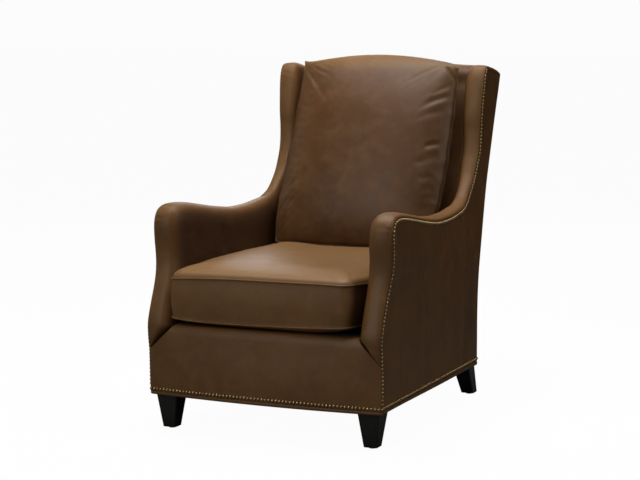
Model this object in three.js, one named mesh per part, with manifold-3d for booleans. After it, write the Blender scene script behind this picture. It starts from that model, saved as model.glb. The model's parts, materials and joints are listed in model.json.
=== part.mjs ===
// Wingback armchair with a loose seat cushion and a loose back pillow, on four tapered legs.
// Millimetres, +Z up. The chair faces -Y and the apron's face is near Y = 0 until the last lines,
// which move the origin to the middle of the chair's floor area. Right is +X, as a viewer sees it.

import * as THREE from 'three';
import { mergeVertices } from 'three/addons/utils/BufferGeometryUtils.js';
import Module from 'manifold-3d';

const wasm = await Module();
wasm.setup();

// Overall sizes
const front_width = 730;
const base_taper = 16;
const rear_width = front_width - base_taper;
const base_depth = 822;
const back_lean = 202;
const leg_height = 114;
const arm_rise = 530;
const wing_rise = 428;
const arm_setback = 56;
const arm_dip = 48;
const wing_setback = 132;
const arm_run = base_depth - arm_setback - wing_setback;
const wing_run = 196;
const shoulder_run = 136;
const shoulder_drop = 26;
const crest_arch = 16;
const front_bow = 14;

// Side faces: the arms flare out at their front tops and the wings are drawn in at mid-height
const arm_flare = 10;
const wing_waist = 15.5;

// Fits
const seam_gap = 0.3;
const tack_gap = 0.8;
const slack = 0.7;

// Leather, padding and timber
const panel_thickness = 4;
const roll_padding = 14;
const roll_crown = 9;
const roll_depth = 20;
const plank_thickness = 32;
const post_width = 60;
const rail_thickness = 25;
const rail_height = 118;
const arm_rail_height = 44;
const back_post_width = 50;
const webbing_thickness = 2;
const deck_thickness = 12;
const deck_height = 313;
const spring_room = 16;
const arm_width = 76;
const wing_spread = 2;
const backrest_crown = 6;
const backrest_setback = 80;
const backrest_foot = base_depth - backrest_setback;
const backrest_rise = 175;
const backrest_level = deck_height + backrest_rise;
const backrest_lean_share = 1.78;
const backrest_foot_lean_share = 0.456;

// Legs
const leg_inset_x = 46;
const leg_inset_y = 45;
const leg_top_width = 70;
const leg_foot_width = 40;
const leg_edge = 3;
const rear_leg_top_width = 56;
const rear_leg_inset = 32;
const rear_leg_place = base_depth - rear_leg_inset;
const rear_leg_rake = 63;
const glide_height = 4;
const glide_radius = 12;

// Seat cushion and back pillow
const cushion_side_gap = 2.5;
const cushion_width = front_width - 2 * (arm_width + cushion_side_gap);
const cushion_flare = 12.5;
const cushion_front = -7;
const cushion_belly = 24;
const cushion_box = 116;
const cushion_crown = 38;
const cushion_seam_low = deck_height + cushion_belly;
const cushion_seam_high = cushion_seam_low + cushion_box;
const cushion_top = cushion_seam_high + cushion_crown;
const cushion_corner = 42;
const cushion_draw = 4;
const pillow_side_gap = 8;
const pillow_width = front_width - 2 * (arm_width + pillow_side_gap);
const pillow_forward = 102;
const pillow_foot_y = backrest_foot - pillow_forward;
const pillow_settle = 1.2;
const pillow_foot_z = cushion_top - pillow_settle;
const pillow_length = 602;
const pillow_tip_deg = 2.1;
const pillow_front_swell = 84;
const pillow_rear_swell = 73;
const pillow_arch = 27;
const pillow_draw = 10;
const pillow_sag = 1.5;

const leather = new THREE.MeshStandardMaterial({ color: 0x5c4230, roughness: 0.45, metalness: 0 });
const padding = new THREE.MeshStandardMaterial({ color: 0x6b4d38, roughness: 0.5, metalness: 0 });
const cushion_leather = new THREE.MeshStandardMaterial({ color: 0x7a5a42, roughness: 0.42, metalness: 0 });
const leg_wood = new THREE.MeshStandardMaterial({ color: 0x1d1f1e, roughness: 0.35, metalness: 0 });
const frame_wood = new THREE.MeshStandardMaterial({ color: 0xb08d62, roughness: 0.8, metalness: 0 });
const brass = new THREE.MeshStandardMaterial({ color: 0x8a6b42, roughness: 0.35, metalness: 1 });
const steel = new THREE.MeshStandardMaterial({ color: 0x8d8f92, roughness: 0.4, metalness: 1 });
const nylon = new THREE.MeshStandardMaterial({ color: 0x2a2a2a, roughness: 0.6, metalness: 0 });
const cloth = new THREE.MeshStandardMaterial({ color: 0x1c1c1e, roughness: 0.95, metalness: 0 });
const webbing = new THREE.MeshStandardMaterial({ color: 0xa68a5e, roughness: 0.95, metalness: 0 });

const chair = new THREE.Group();

function add(name, geometry, material) {
  const mesh = new THREE.Mesh(geometry, material);
  mesh.name = name;
  chair.add(mesh);
}

// Numbers
const mix = (a, b, share) => a + (b - a) * share;
const share_of = (v, a, b) => Math.min(Math.max((v - a) / (b - a), 0), 1);
const ease = (t) => t * t * (3 - 2 * t);

// Value of a smooth curve through [place, value] pairs
function curve_at(pairs, place) {
  let i = 0;
  while (i < pairs.length - 2 && place > pairs[i + 1][0]) i += 1;
  const [x0, y0] = pairs[i];
  const [x1, y1] = pairs[i + 1];
  const before = pairs[Math.max(i - 1, 0)];
  const after = pairs[Math.min(i + 2, pairs.length - 1)];
  const span = x1 - x0;
  const slope0 = ((y1 - before[1]) / (x1 - before[0])) * span;
  const slope1 = ((after[1] - y0) / (after[0] - x0)) * span;
  const t = (place - x0) / span;
  const t2 = t * t;
  const t3 = t2 * t;
  return (2 * t3 - 3 * t2 + 1) * y0 + (t3 - 2 * t2 + t) * slope0 + (3 * t2 - 2 * t3) * y1 + (t3 - t2) * slope1;
}

// Heights that follow from the sizes
const arm_top = leg_height + arm_rise;
const seam_y = arm_setback + arm_run;
const seam_z_share = 0.75;
const seam_z = arm_top - arm_dip * seam_z_share;
const shoulder_height = seam_z + wing_rise;
const back_rise = shoulder_height - leg_height;
const rail_top = leg_height + rail_height;
const deck_under = deck_height - deck_thickness;
const deck_rail_top = deck_under - spring_room;
const inner_half = front_width / 2 - arm_width;

// Outside of the back: depth at height z, upright in the base and straight and raked above it
const rear_shares = [
  [0, 0], [0.2, 0.005], [0.31, 0.055], [0.41, 0.165], [0.69, 0.59], [0.975, 1], [1, 1.04],
];
const rear = (z) => base_depth + back_lean * curve_at(rear_shares, (z - leg_height) / back_rise);

// Outer face of a side: distance from the middle plane at depth y and height z
const flare_low_share = 0.31;
const flare_high_share = 0.485;
const waist_low_share = 0.345;
const waist_level_share = 0.642;
const waist_recovery_share = 0.75;
const rear_waist_share = 0.4;
function side(y, z) {
  const plain = mix(front_width, rear_width, share_of(y, 0, base_depth)) / 2;
  const up = (z - leg_height) / back_rise;
  const along = share_of(y, arm_setback, seam_y + wing_run / 3);
  const flare = arm_flare * ease(share_of(up, flare_low_share, flare_high_share));
  const gone = ease(share_of(up, waist_level_share, 1));
  const waist = wing_waist * ease(share_of(up, waist_low_share, waist_level_share)) * (1 - waist_recovery_share * gone);
  const forward = mix(rear_waist_share, 1, share_of(rear(z) - y, 0, shoulder_run));
  return plain + flare * (1 - along) - waist * along * forward;
}

// Inner faces of the arms and wings, and the face of the backrest
const spread_low_share = 0.55;
const inner = (z) => inner_half + wing_spread * ease(share_of((z - leg_height) / back_rise, spread_low_share, 1));
function backrest(z) {
  const lean_share = z > backrest_level ? backrest_lean_share : backrest_foot_lean_share;
  return backrest_foot + (z - backrest_level) * lean_share * (back_lean / back_rise);
}

// Front and top edge of the side panels, as [depth share, height share] pairs in three runs
const front_edge_shares = [
  [-0.04, 0], [-0.05, 0.16], [-0.09, 0.24], [-0.18, 0.31], [-0.18, 0.385], [0.04, 0.455], [0.32, 0.526],
  [0.59, 0.59], [0.79, 0.64], [0.95, 0.7], [1, 0.768], [0.95, 0.836], [0.91, 0.894], [0.96, 0.94], [1.12, 0.975],
];
const arm_edge_shares = [
  [0.01, 0.27], [0.044, 0.04], [0.1, 0], [0.17, 0.083], [0.34, 0.4375], [0.435, 0.646], [0.6, 0.9375],
  [0.715, 1], [0.84, 0.958], [1, 0.75],
];
const wing_edge_shares = [
  [0, 0], [0.194, 0.033], [0.316, 0.065], [0.474, 0.133], [0.602, 0.2], [0.689, 0.266], [0.811, 0.383],
  [0.852, 0.528], [0.847, 0.65], [0.872, 0.769], [0.898, 0.867], [0.935, 0.945], [1, 1],
];
const shoulder_edge_shares = [[0, 0], [0.13, -0.06], [0.4, 0.13], [0.75, 0.5], [0.96, 0.9]];

// Points [y, z] evenly spaced on a smooth curve through share pairs
function edge_points(shares, y0, y_size, z0, z_size, count) {
  const curve = new THREE.SplineCurve(shares.map(([y, z]) => new THREE.Vector2(y0 + y * y_size, z0 + z * z_size)));
  return curve.getSpacedPoints(count).map((p) => [p.x, p.y]);
}
const front_edge = edge_points(front_edge_shares, 0, arm_setback, leg_height, arm_rise, 14);
const arm_edge = edge_points(arm_edge_shares, arm_setback, arm_run, arm_top, -arm_dip, 17);
const wing_edge = edge_points(wing_edge_shares, seam_y, wing_run, seam_z, wing_rise, 15);
const shoulder_edge = edge_points(
  shoulder_edge_shares, seam_y + wing_run, shoulder_run, shoulder_height, -shoulder_drop, 4,
);
const whole_edge = [...front_edge, ...arm_edge.slice(1), ...wing_edge.slice(1), ...shoulder_edge.slice(1)];
const first_arm = front_edge.length;
const last_arm = first_arm + arm_edge.length - 2;
const last_edge = whole_edge.length - 1;

// Outward unit normals of a line of [y, z] points that runs up the front and back along the top
function normals(points) {
  return points.map((p, i) => {
    const a = points[Math.max(i - 1, 0)];
    const b = points[Math.min(i + 1, points.length - 1)];
    const length = Math.hypot(b[0] - a[0], b[1] - a[1]);
    return [-(b[1] - a[1]) / length, (b[0] - a[0]) / length];
  });
}
const edge_normals = normals(whole_edge);
const offset = (i, n) => [whole_edge[i][0] + edge_normals[i][0] * n, whole_edge[i][1] + edge_normals[i][1] * n];
const offset_run = (from, to, n) => {
  const run = [];
  for (let i = from; i <= to; i += 1) run.push(offset(i, n));
  return run;
};

// Where a line of points that rises passes a given level
function at_level(run, level) {
  const i = Math.max(run.findIndex(([, z]) => z >= level), 1);
  const [a, b] = [run[i - 1], run[i]];
  return [mix(a[0], b[0], (level - a[1]) / (b[1] - a[1])), level];
}

// A mesh from points and faces, turned to face outwards
function solid(points, faces) {
  let volume = 0;
  for (const [a, b, c] of faces) {
    const pa = points[a];
    const pb = points[b];
    const pc = points[c];
    volume += pa[0] * (pb[1] * pc[2] - pb[2] * pc[1]);
    volume += pa[1] * (pb[2] * pc[0] - pb[0] * pc[2]);
    volume += pa[2] * (pb[0] * pc[1] - pb[1] * pc[0]);
  }
  const out = volume > 0 ? faces : faces.map(([a, b, c]) => [a, c, b]);
  const geometry = new THREE.BufferGeometry();
  geometry.setAttribute('position', new THREE.Float32BufferAttribute(points.flat(), 3));
  geometry.setIndex(out.flat());
  return geometry;
}

// A closed plate between two grids of points that have the same rows and columns
function plate(face, back) {
  const rows = face.length;
  const columns = face[0].length;
  const points = [...face.flat(), ...back.flat()];
  const faces = [];
  const at = (layer, r, c) => layer * rows * columns + r * columns + c;
  const quad = (a, b, c, d) => faces.push([a, b, c], [a, c, d]);
  for (let r = 0; r < rows - 1; r += 1) {
    for (let c = 0; c < columns - 1; c += 1) {
      quad(at(0, r, c), at(0, r, c + 1), at(0, r + 1, c + 1), at(0, r + 1, c));
      quad(at(1, r, c), at(1, r + 1, c), at(1, r + 1, c + 1), at(1, r, c + 1));
    }
  }
  for (let r = 0; r < rows - 1; r += 1) {
    quad(at(0, r, 0), at(0, r + 1, 0), at(1, r + 1, 0), at(1, r, 0));
    quad(at(0, r, columns - 1), at(1, r, columns - 1), at(1, r + 1, columns - 1), at(0, r + 1, columns - 1));
  }
  for (let c = 0; c < columns - 1; c += 1) {
    quad(at(0, 0, c), at(1, 0, c), at(1, 0, c + 1), at(0, 0, c + 1));
    quad(at(0, rows - 1, c), at(0, rows - 1, c + 1), at(1, rows - 1, c + 1), at(1, rows - 1, c));
  }
  return solid(points, faces);
}

// A closed body through rings of points, with flat ends filled from their 2D outlines
function loft(rings, first_outline, last_outline, closed = false) {
  const count = rings[0].length;
  const faces = [];
  const links = closed ? rings.length : rings.length - 1;
  for (let r = 0; r < links; r += 1) {
    const next = (r + 1) % rings.length;
    for (let i = 0; i < count; i += 1) {
      const j = (i + 1) % count;
      const a = r * count + i;
      const b = r * count + j;
      const c = next * count + j;
      const d = next * count + i;
      faces.push([a, b, c], [a, c, d]);
    }
  }
  const fill = (outline, start, forward) => {
    const flat = outline.map(([x, y]) => new THREE.Vector2(x, y));
    const keep = THREE.ShapeUtils.area(flat) > 0 === forward;
    for (const [i, j, k] of THREE.ShapeUtils.triangulateShape(flat, [])) {
      faces.push(keep ? [start + i, start + j, start + k] : [start + i, start + k, start + j]);
    }
  };
  if (!closed) {
    fill(first_outline, 0, false);
    fill(last_outline, (rings.length - 1) * count, true);
  }
  return solid(rings.flat(), faces);
}

// A copy on the other side of the middle plane where the sign is negative
function on_side(geometry, sign) {
  if (sign > 0) return geometry;
  const copy = geometry.clone();
  const place = copy.getAttribute('position');
  for (let i = 0; i < place.count; i += 1) place.setX(i, -place.getX(i));
  const index = copy.getIndex().array;
  for (let i = 0; i < index.length; i += 3) [index[i + 1], index[i + 2]] = [index[i + 2], index[i + 1]];
  return copy;
}

// Booleans
function to_manifold(geometry) {
  const bare = geometry.clone();
  bare.deleteAttribute('normal');
  bare.deleteAttribute('uv');
  const merged = mergeVertices(bare);
  return new wasm.Manifold(new wasm.Mesh({
    numProp: 3,
    vertProperties: merged.getAttribute('position').array,
    triVerts: new Uint32Array(merged.getIndex().array),
  }));
}
function from_manifold(body) {
  const mesh = body.getMesh();
  const geometry = new THREE.BufferGeometry();
  geometry.setAttribute('position', new THREE.BufferAttribute(new Float32Array(mesh.vertProperties), 3));
  geometry.setIndex([...mesh.triVerts]);
  return geometry;
}

// A prism: an outline of [a, b] points carried along the third axis, from low to high
function prism(outline, axis, low, high, holes = []) {
  const shape = new THREE.Shape(outline.map(([a, b]) => new THREE.Vector2(a, b)));
  for (const [a, b, radius, sides] of holes) {
    const hole = new THREE.Path();
    for (let i = 0; i < sides; i += 1) {
      const turn = (2 * Math.PI * i) / sides;
      const point = [a + radius * Math.cos(turn), b + radius * Math.sin(turn)];
      if (i === 0) hole.moveTo(...point);
      else hole.lineTo(...point);
    }
    hole.closePath();
    shape.holes.push(hole);
  }
  const body = new THREE.ExtrudeGeometry(shape, { depth: high - low, bevelEnabled: false });
  body.translate(0, 0, low);
  const order = { x: [2, 0, 1], y: [0, 2, 1], z: [0, 1, 2] }[axis];
  const bare = new THREE.BufferGeometry();
  const from = body.getAttribute('position');
  const points = [];
  for (let i = 0; i < from.count; i += 1) {
    const p = [from.getX(i), from.getY(i), from.getZ(i)];
    points.push(order.map((k) => p[k]));
  }
  bare.setAttribute('position', new THREE.Float32BufferAttribute(points.flat(), 3));
  const merged = mergeVertices(bare);
  const index = [...merged.getIndex().array];
  const place = merged.getAttribute('position');
  const list = [];
  for (let i = 0; i < place.count; i += 1) list.push([place.getX(i), place.getY(i), place.getZ(i)]);
  const faces = [];
  for (let i = 0; i < index.length; i += 3) faces.push([index[i], index[i + 1], index[i + 2]]);
  return solid(list, faces);
}

// Layers of a side wall: grids of [y, z] given a thickness along X, counted inwards from the outer face
const side_layer = (grid, skin, thickness) => plate(
  grid.map((row) => row.map(([y, z]) => [side(y, z) - skin, y, z])),
  grid.map((row) => row.map(([y, z]) => [side(y, z) - skin - thickness, y, z])),
);
const across = (a, b, steps) => {
  const row = [];
  for (let i = 0; i <= steps; i += 1) row.push([mix(a[0], b[0], i / steps), mix(a[1], b[1], i / steps)]);
  return row;
};

// Grid of [y, z] points that fills four border lines
function patch(left, right, low, high) {
  const rows = left.length - 1;
  const columns = low.length - 1;
  return left.map((_, r) => low.map((__, c) => {
    const u = c / columns;
    const v = r / rows;
    return [0, 1].map((k) => {
      const borders = mix(left[r][k], right[r][k], u) + mix(low[c][k], high[c][k], v);
      const corners = mix(mix(left[0][k], right[0][k], u), mix(left[rows][k], right[rows][k], u), v);
      return borders - corners;
    });
  }));
}

// Outside leather of the arms and wings
function outside_arm() {
  const end = seam_y - seam_gap;
  const high = whole_edge.slice(first_arm - 1, last_arm).concat([[end, seam_z]]);
  const low = across([front_edge[0][0], leg_height], [end, leg_height], high.length - 1);
  const right = across([end, leg_height], [end, seam_z], front_edge.length - 1);
  return side_layer(patch(front_edge, right, low, high), 0, panel_thickness);
}
function outside_wing() {
  const upright = across([seam_y, leg_height], [seam_y, seam_z], 9);
  const edge = [...wing_edge.slice(1), ...shoulder_edge.slice(1)];
  const left = [...upright, ...edge];
  const top_z = shoulder_edge[shoulder_edge.length - 1][1];
  const rows = left.map(([y, z], i) => {
    const level = i < upright.length ? z : mix(seam_z, top_z, (i - upright.length + 1) / edge.length);
    return across([y, z], [rear(level) - panel_thickness - seam_gap, level], 5);
  });
  rows.pop();
  return side_layer(rows, 0, panel_thickness);
}

// Padded rolls that cap the arms and wings: a section in [distance from middle plane, rise over the edge]
const post_front = roll_padding + tack_gap;
function roll_section(i) {
  const [y, z] = whole_edge[i];
  const out = side(y, z);
  const face = inner(z);
  const deep = side(...offset(i, -roll_depth));
  const core = Math.min(out, deep) - panel_thickness - tack_gap - plank_thickness - slack;
  const spare = i < first_arm ? Math.max(0, post_front - (y + roll_padding)) : 0;
  const under = seam_gap - roll_padding - spare;
  const skin = out - panel_thickness - slack;
  const round = roll_depth;
  return [
    [out, seam_gap], [out - roll_crown / 4, roll_crown * 0.6], [out - roll_crown, roll_crown * 0.92],
    [out - roll_depth, roll_crown], [mix(out, face, 0.5), roll_crown * 0.97], [face + round, roll_crown * 0.7],
    [face + round / 3, -round / 6], [face + round / 10, -round], [core, -round], [core, under], [skin, under],
    [skin, seam_gap],
  ];
}
function roll(from, to, start_gap) {
  const rings = [];
  const sections = [];
  for (let i = from; i <= to; i += 1) {
    const section = roll_section(i);
    sections.push(section);
    rings.push(section.map(([x, n]) => {
      const [y, z] = offset(i, n);
      return [x, y, z];
    }));
  }
  rings[0] = rings[0].map((p, j) => {
    const q = rings[1][j];
    const share = start_gap / Math.hypot(q[0] - p[0], q[1] - p[1], q[2] - p[2]);
    return p.map((v, k) => mix(v, q[k], share));
  });
  return loft(rings, sections[0], sections[sections.length - 1]);
}

// Front outline of the apron: its ends are cut off by the slanting feet of the arm rolls
const apron_half = front_width / 2 - panel_thickness - seam_gap;
const apron_slant = 75;
const apron_top = deck_height;
const apron_shoulder = apron_top - apron_slant;
const apron_notch = inner_half - seam_gap;
const apron_outline = [
  [-apron_half, leg_height], [apron_half, leg_height], [apron_half, apron_shoulder], [apron_notch, apron_top],
  [-apron_notch, apron_top], [-apron_half, apron_shoulder],
];
const apron_reach = front_width;
function apron_keepout() {
  const slope = (apron_top - apron_shoulder) / (apron_half - apron_notch);
  const past = apron_half + panel_thickness * 2;
  const lift = seam_gap * 1.5;
  const low = leg_height - roll_padding;
  return [
    [0, low], [past, low], [past, apron_shoulder + lift - slope * (past - apron_half)],
    [apron_notch, apron_top + lift], [0, apron_top + lift],
  ];
}
function arm_roll(sign) {
  const first = front_edge.findIndex(([, z]) => z > apron_shoulder - roll_depth);
  const whole = to_manifold(roll(first, last_arm, 0));
  const foot = to_manifold(prism(apron_keepout(), 'y', -apron_reach, apron_reach));
  return on_side(from_manifold(whole.subtract(foot)), sign);
}

const apron_skin = roll_padding;
const apron_top_depth = 44;
const apron_face_shares = [[-0.14, 0], [-0.3, 0.35], [-0.35, 0.6], [-0.2, 0.85]];
const apron_crown_shares = [[0.3, 0.955], [1, 0.99], [2.2, 1]];
const apron_steps = 12;
const bow_top_share = 0.97;
const bow_low_share = 0.1;
const bow_at = (x) => front_bow * Math.max(0, 1 - (x / (front_width / 2)) ** 2);
function apron_section(x) {
  const lip = apron_skin + rail_thickness / 3;
  const face = [...apron_face_shares, ...apron_crown_shares].map(([y, z]) => {
    const bowed = bow_at(x) * (1 - ease(share_of(z, bow_low_share, bow_top_share)));
    return [y * apron_skin - bowed, mix(leg_height, apron_top, z)];
  });
  return [
    ...face, [apron_top_depth, apron_top], [apron_top_depth, deck_under], [lip, deck_under],
    [lip, deck_rail_top + seam_gap], [apron_skin, deck_rail_top + seam_gap], [apron_skin, leg_height],
  ];
}
function front_apron() {
  const rail_back = apron_skin + rail_thickness + seam_gap;
  const rings = [];
  for (let i = 0; i <= apron_steps; i += 1) {
    const x = mix(-apron_half, apron_half, i / apron_steps);
    rings.push(apron_section(x).map(([y, z]) => [x, y, z]));
  }
  const bar = to_manifold(loft(rings, apron_section(-apron_half), apron_section(apron_half)));
  const front = to_manifold(prism(apron_outline, 'y', -apron_reach, apron_skin));
  const top = to_manifold(prism(
    [[-apron_notch, rail_top], [apron_notch, rail_top], [apron_notch, arm_top], [-apron_notch, arm_top]],
    'y', -apron_reach, Math.max(rail_back, apron_top_depth) + apron_skin,
  ));
  return from_manifold(bar.intersect(front.add(top)));
}

// Timber of one side
const plank_skin = panel_thickness + tack_gap;
const plank_inner = plank_skin + plank_thickness + tack_gap;
const post_top = arm_top - arm_rail_height - roll_padding - roll_depth;
function arm_post() {
  const line = offset_run(0, first_arm, -roll_padding);
  const rows = line.filter(([, z]) => z > rail_top + roll_depth && z < post_top - roll_depth / 2);
  rows.unshift([post_front, rail_top + seam_gap]);
  rows.push(at_level(line, post_top));
  const grid = rows.map(([y, z]) => across([Math.max(y, post_front), z], [Math.max(y, post_front) + post_width, z], 1));
  return side_layer(grid, plank_skin, plank_thickness);
}
const arm_rail_start = arm_setback + roll_padding * 2;
const wing_foot = seam_z - roll_padding + seam_gap;
const rear_plank = (z) => rear(z) - panel_thickness - tack_gap;
function arm_rail() {
  const foot = post_top + seam_gap;
  const line = offset_run(first_arm, last_arm, -roll_padding).filter(([y]) => y > arm_rail_start);
  const rows = line.map(([y, z]) => {
    const low = y < arm_rail_start + post_width ? foot : Math.max(z - arm_rail_height, foot - roll_depth);
    return across([y, low], [y, y > seam_y - post_width ? Math.min(z, wing_foot - seam_gap) : z], 1);
  });
  const [low, high] = rows[rows.length - 1];
  const end = (z) => rear_plank(z) - back_post_width - seam_gap;
  for (const t of [1 / 3, 2 / 3, 1]) {
    rows.push(across([mix(low[0], end(low[1]), t), low[1]], [mix(high[0], end(high[1]), t), high[1]], 1));
  }
  return side_layer(rows, plank_skin, plank_thickness);
}
function wing_post() {
  const top = shoulder_height - shoulder_drop - roll_padding - seam_gap;
  const line = offset_run(last_arm, last_edge, -roll_padding);
  const rows = line.filter(([, z]) => z > wing_foot + roll_depth / 2 && z < top - roll_depth);
  rows.unshift(at_level(line, wing_foot));
  rows.push(at_level(line, top));
  const grid = rows.map(([y, z], i) => {
    const limit = rear_plank(z) - back_post_width - seam_gap;
    return across([y, z], [i > rows.length - 3 ? limit : Math.min(y + post_width * 0.75, limit), z], 2);
  });
  return side_layer(grid, plank_skin, plank_thickness);
}
const back_post_top = shoulder_height - shoulder_drop - roll_padding - seam_gap;
function back_post() {
  const grid = [];
  const steps = 12;
  for (let i = 0; i <= steps; i += 1) {
    const z = mix(rail_top + seam_gap, back_post_top, i / steps);
    grid.push(across([rear_plank(z) - back_post_width, z], [rear_plank(z), z], 1));
  }
  return side_layer(grid, plank_skin, plank_thickness);
}
const front_rail_back = apron_skin + seam_gap + rail_thickness;
function side_rail() {
  const grid = [leg_height, rail_top].map((z) => across([front_rail_back + seam_gap, z], [rear_plank(leg_height), z], 2));
  return side_layer(grid, panel_thickness + seam_gap, rail_thickness);
}

// Inside padding of the arms and wings
const lower_rail_level = 430;
const lower_rail_height = 55;
const line_level = lower_rail_level + lower_rail_height;
const line_slope = (rear_plank(shoulder_height) - rear_plank(line_level)) / (shoulder_height - line_level);
const back_line = (z) => rear_plank(line_level) + (z - line_level) * line_slope - rail_thickness;
const pad_rear = (z) => back_line(z) - webbing_thickness - 3 * seam_gap;
const side_pad = (grid) => plate(
  grid.map((row) => row.map(([y, z]) => [side(y, z) - plank_inner, y, z])),
  grid.map((row) => row.map(([y, z]) => [inner(z), y, z])),
);
const pad_split = seam_z - roll_depth;
function inside_arm() {
  const foot = deck_height + seam_gap;
  const inset = roll_depth + seam_gap;
  const corner = first_arm - 1;
  const line = offset_run(0, corner, -inset);
  const front = [at_level(line, foot), ...line.filter(([, z]) => z > foot + roll_depth / 2)];
  const top = offset_run(corner, last_arm, -inset);
  const [end_y, end_z] = top[top.length - 1];
  for (const t of [1 / 3, 2 / 3, 1]) top.push([mix(end_y, pad_rear(pad_split), t), mix(end_z, pad_split, t)]);
  const rows = front.length - 1;
  const right = across([pad_rear(foot), foot], [pad_rear(pad_split), pad_split], rows);
  return side_pad(patch(front, right, across(front[0], right[0], top.length - 1), top));
}
function inside_wing() {
  const inset = roll_depth + seam_gap;
  const top = shoulder_height - shoulder_drop - roll_depth * 2;
  const arm_end = offset(last_arm, -inset);
  const line = offset_run(last_arm, last_edge, -inset);
  const rows = line.filter(([, z], i) => i > 0 && z < top - roll_depth / 2).map(([y, z]) => across([y, z], [pad_rear(z), z], 4));
  rows.unshift(across([arm_end[0], arm_end[1] + seam_gap], [pad_rear(pad_split), pad_split + seam_gap], 4));
  rows.push(across(at_level(line, top), [pad_rear(top), top], 4));
  return side_pad(rows);
}

// Nails: a low strip along the panel's edge, at the height of the nail heads
const nail_lift = 0.95;
const nail_inset = 5.5;
const nail_width = 9;
const nail_height = 2.4;
const nail_base_level = 122;
const nail_start_shares = 1.5;
const nail_section_shares = [[-0.5, 0], [-0.3, 1], [0.3, 1], [0.5, 0]];
function nail_row() {
  const rings = [];
  for (let i = 0; i <= last_edge - 2; i += 1) {
    const [y, z] = whole_edge[i];
    if (i > 0 && z < nail_base_level + nail_width * nail_start_shares && i < first_arm) continue;
    rings.push(nail_section_shares.map(([w, h]) => {
      const [py, pz] = offset(i, w * nail_width - nail_inset);
      const level = i === 0 ? nail_base_level + nail_width : pz;
      return [side(py, level) + nail_lift + h * nail_height, py, level];
    }));
  }
  return loft(rings, nail_section_shares, nail_section_shares);
}

// Rings round the base, bowed at the front: stations listed once, walked as a closed loop
function base_ring(outward, level, section) {
  const front = apron_face_shares[0][0] * apron_skin;
  const stations = [];
  for (let i = 0; i <= apron_steps; i += 1) {
    const x = mix(-front_width, front_width, i / apron_steps) / 2;
    const end = i === 0 || i === apron_steps ? Math.sign(x) : 0;
    stations.push([x, front - bow_at(x), end, -1]);
  }
  stations.push([rear_width / 2, base_depth, 1, 1], [-rear_width / 2, base_depth, -1, 1]);
  const rings = stations.map(([x, y, sx, sy]) => section.map(([o, h]) => [
    x + sx * (outward + o), y + sy * (outward + o), level + h,
  ]));
  return loft(rings, section, section, true);
}

// Legs: square with small chamfers, from the top section to the foot section
function leg_body(top_width, foot_width, rake) {
  const ring = (width, y, z) => {
    const half = width / 2;
    const cut = half - leg_edge;
    return [
      [cut, -half], [half, -cut], [half, cut], [cut, half], [-cut, half], [-half, cut], [-half, -cut], [-cut, -half],
    ].map(([a, b]) => [a, b + y, z]);
  };
  const rings = [ring(foot_width, rake, glide_height + seam_gap), ring(top_width, 0, leg_height - seam_gap)];
  const flat = rings.map((points) => points.map(([x, y]) => [x, y]));
  return loft(rings, flat[0], flat[1]);
}
function turned_profile(profile, sides) {
  const lathe = new THREE.LatheGeometry(profile.map(([r, z]) => new THREE.Vector2(r, z)), sides);
  lathe.rotateX(Math.PI / 2);
  lathe.deleteAttribute('normal');
  lathe.deleteAttribute('uv');
  const merged = mergeVertices(lathe);
  const faces = [];
  const index = merged.getIndex().array;
  const place = merged.getAttribute('position');
  const list = [];
  for (let i = 0; i < place.count; i += 1) list.push([place.getX(i), place.getY(i), place.getZ(i)]);
  for (let i = 0; i < index.length; i += 3) {
    const [a, b, c] = [index[i], index[i + 1], index[i + 2]];
    if (a !== b && b !== c && a !== c) faces.push([a, b, c]);
  }
  return solid(list, faces);
}

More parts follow.
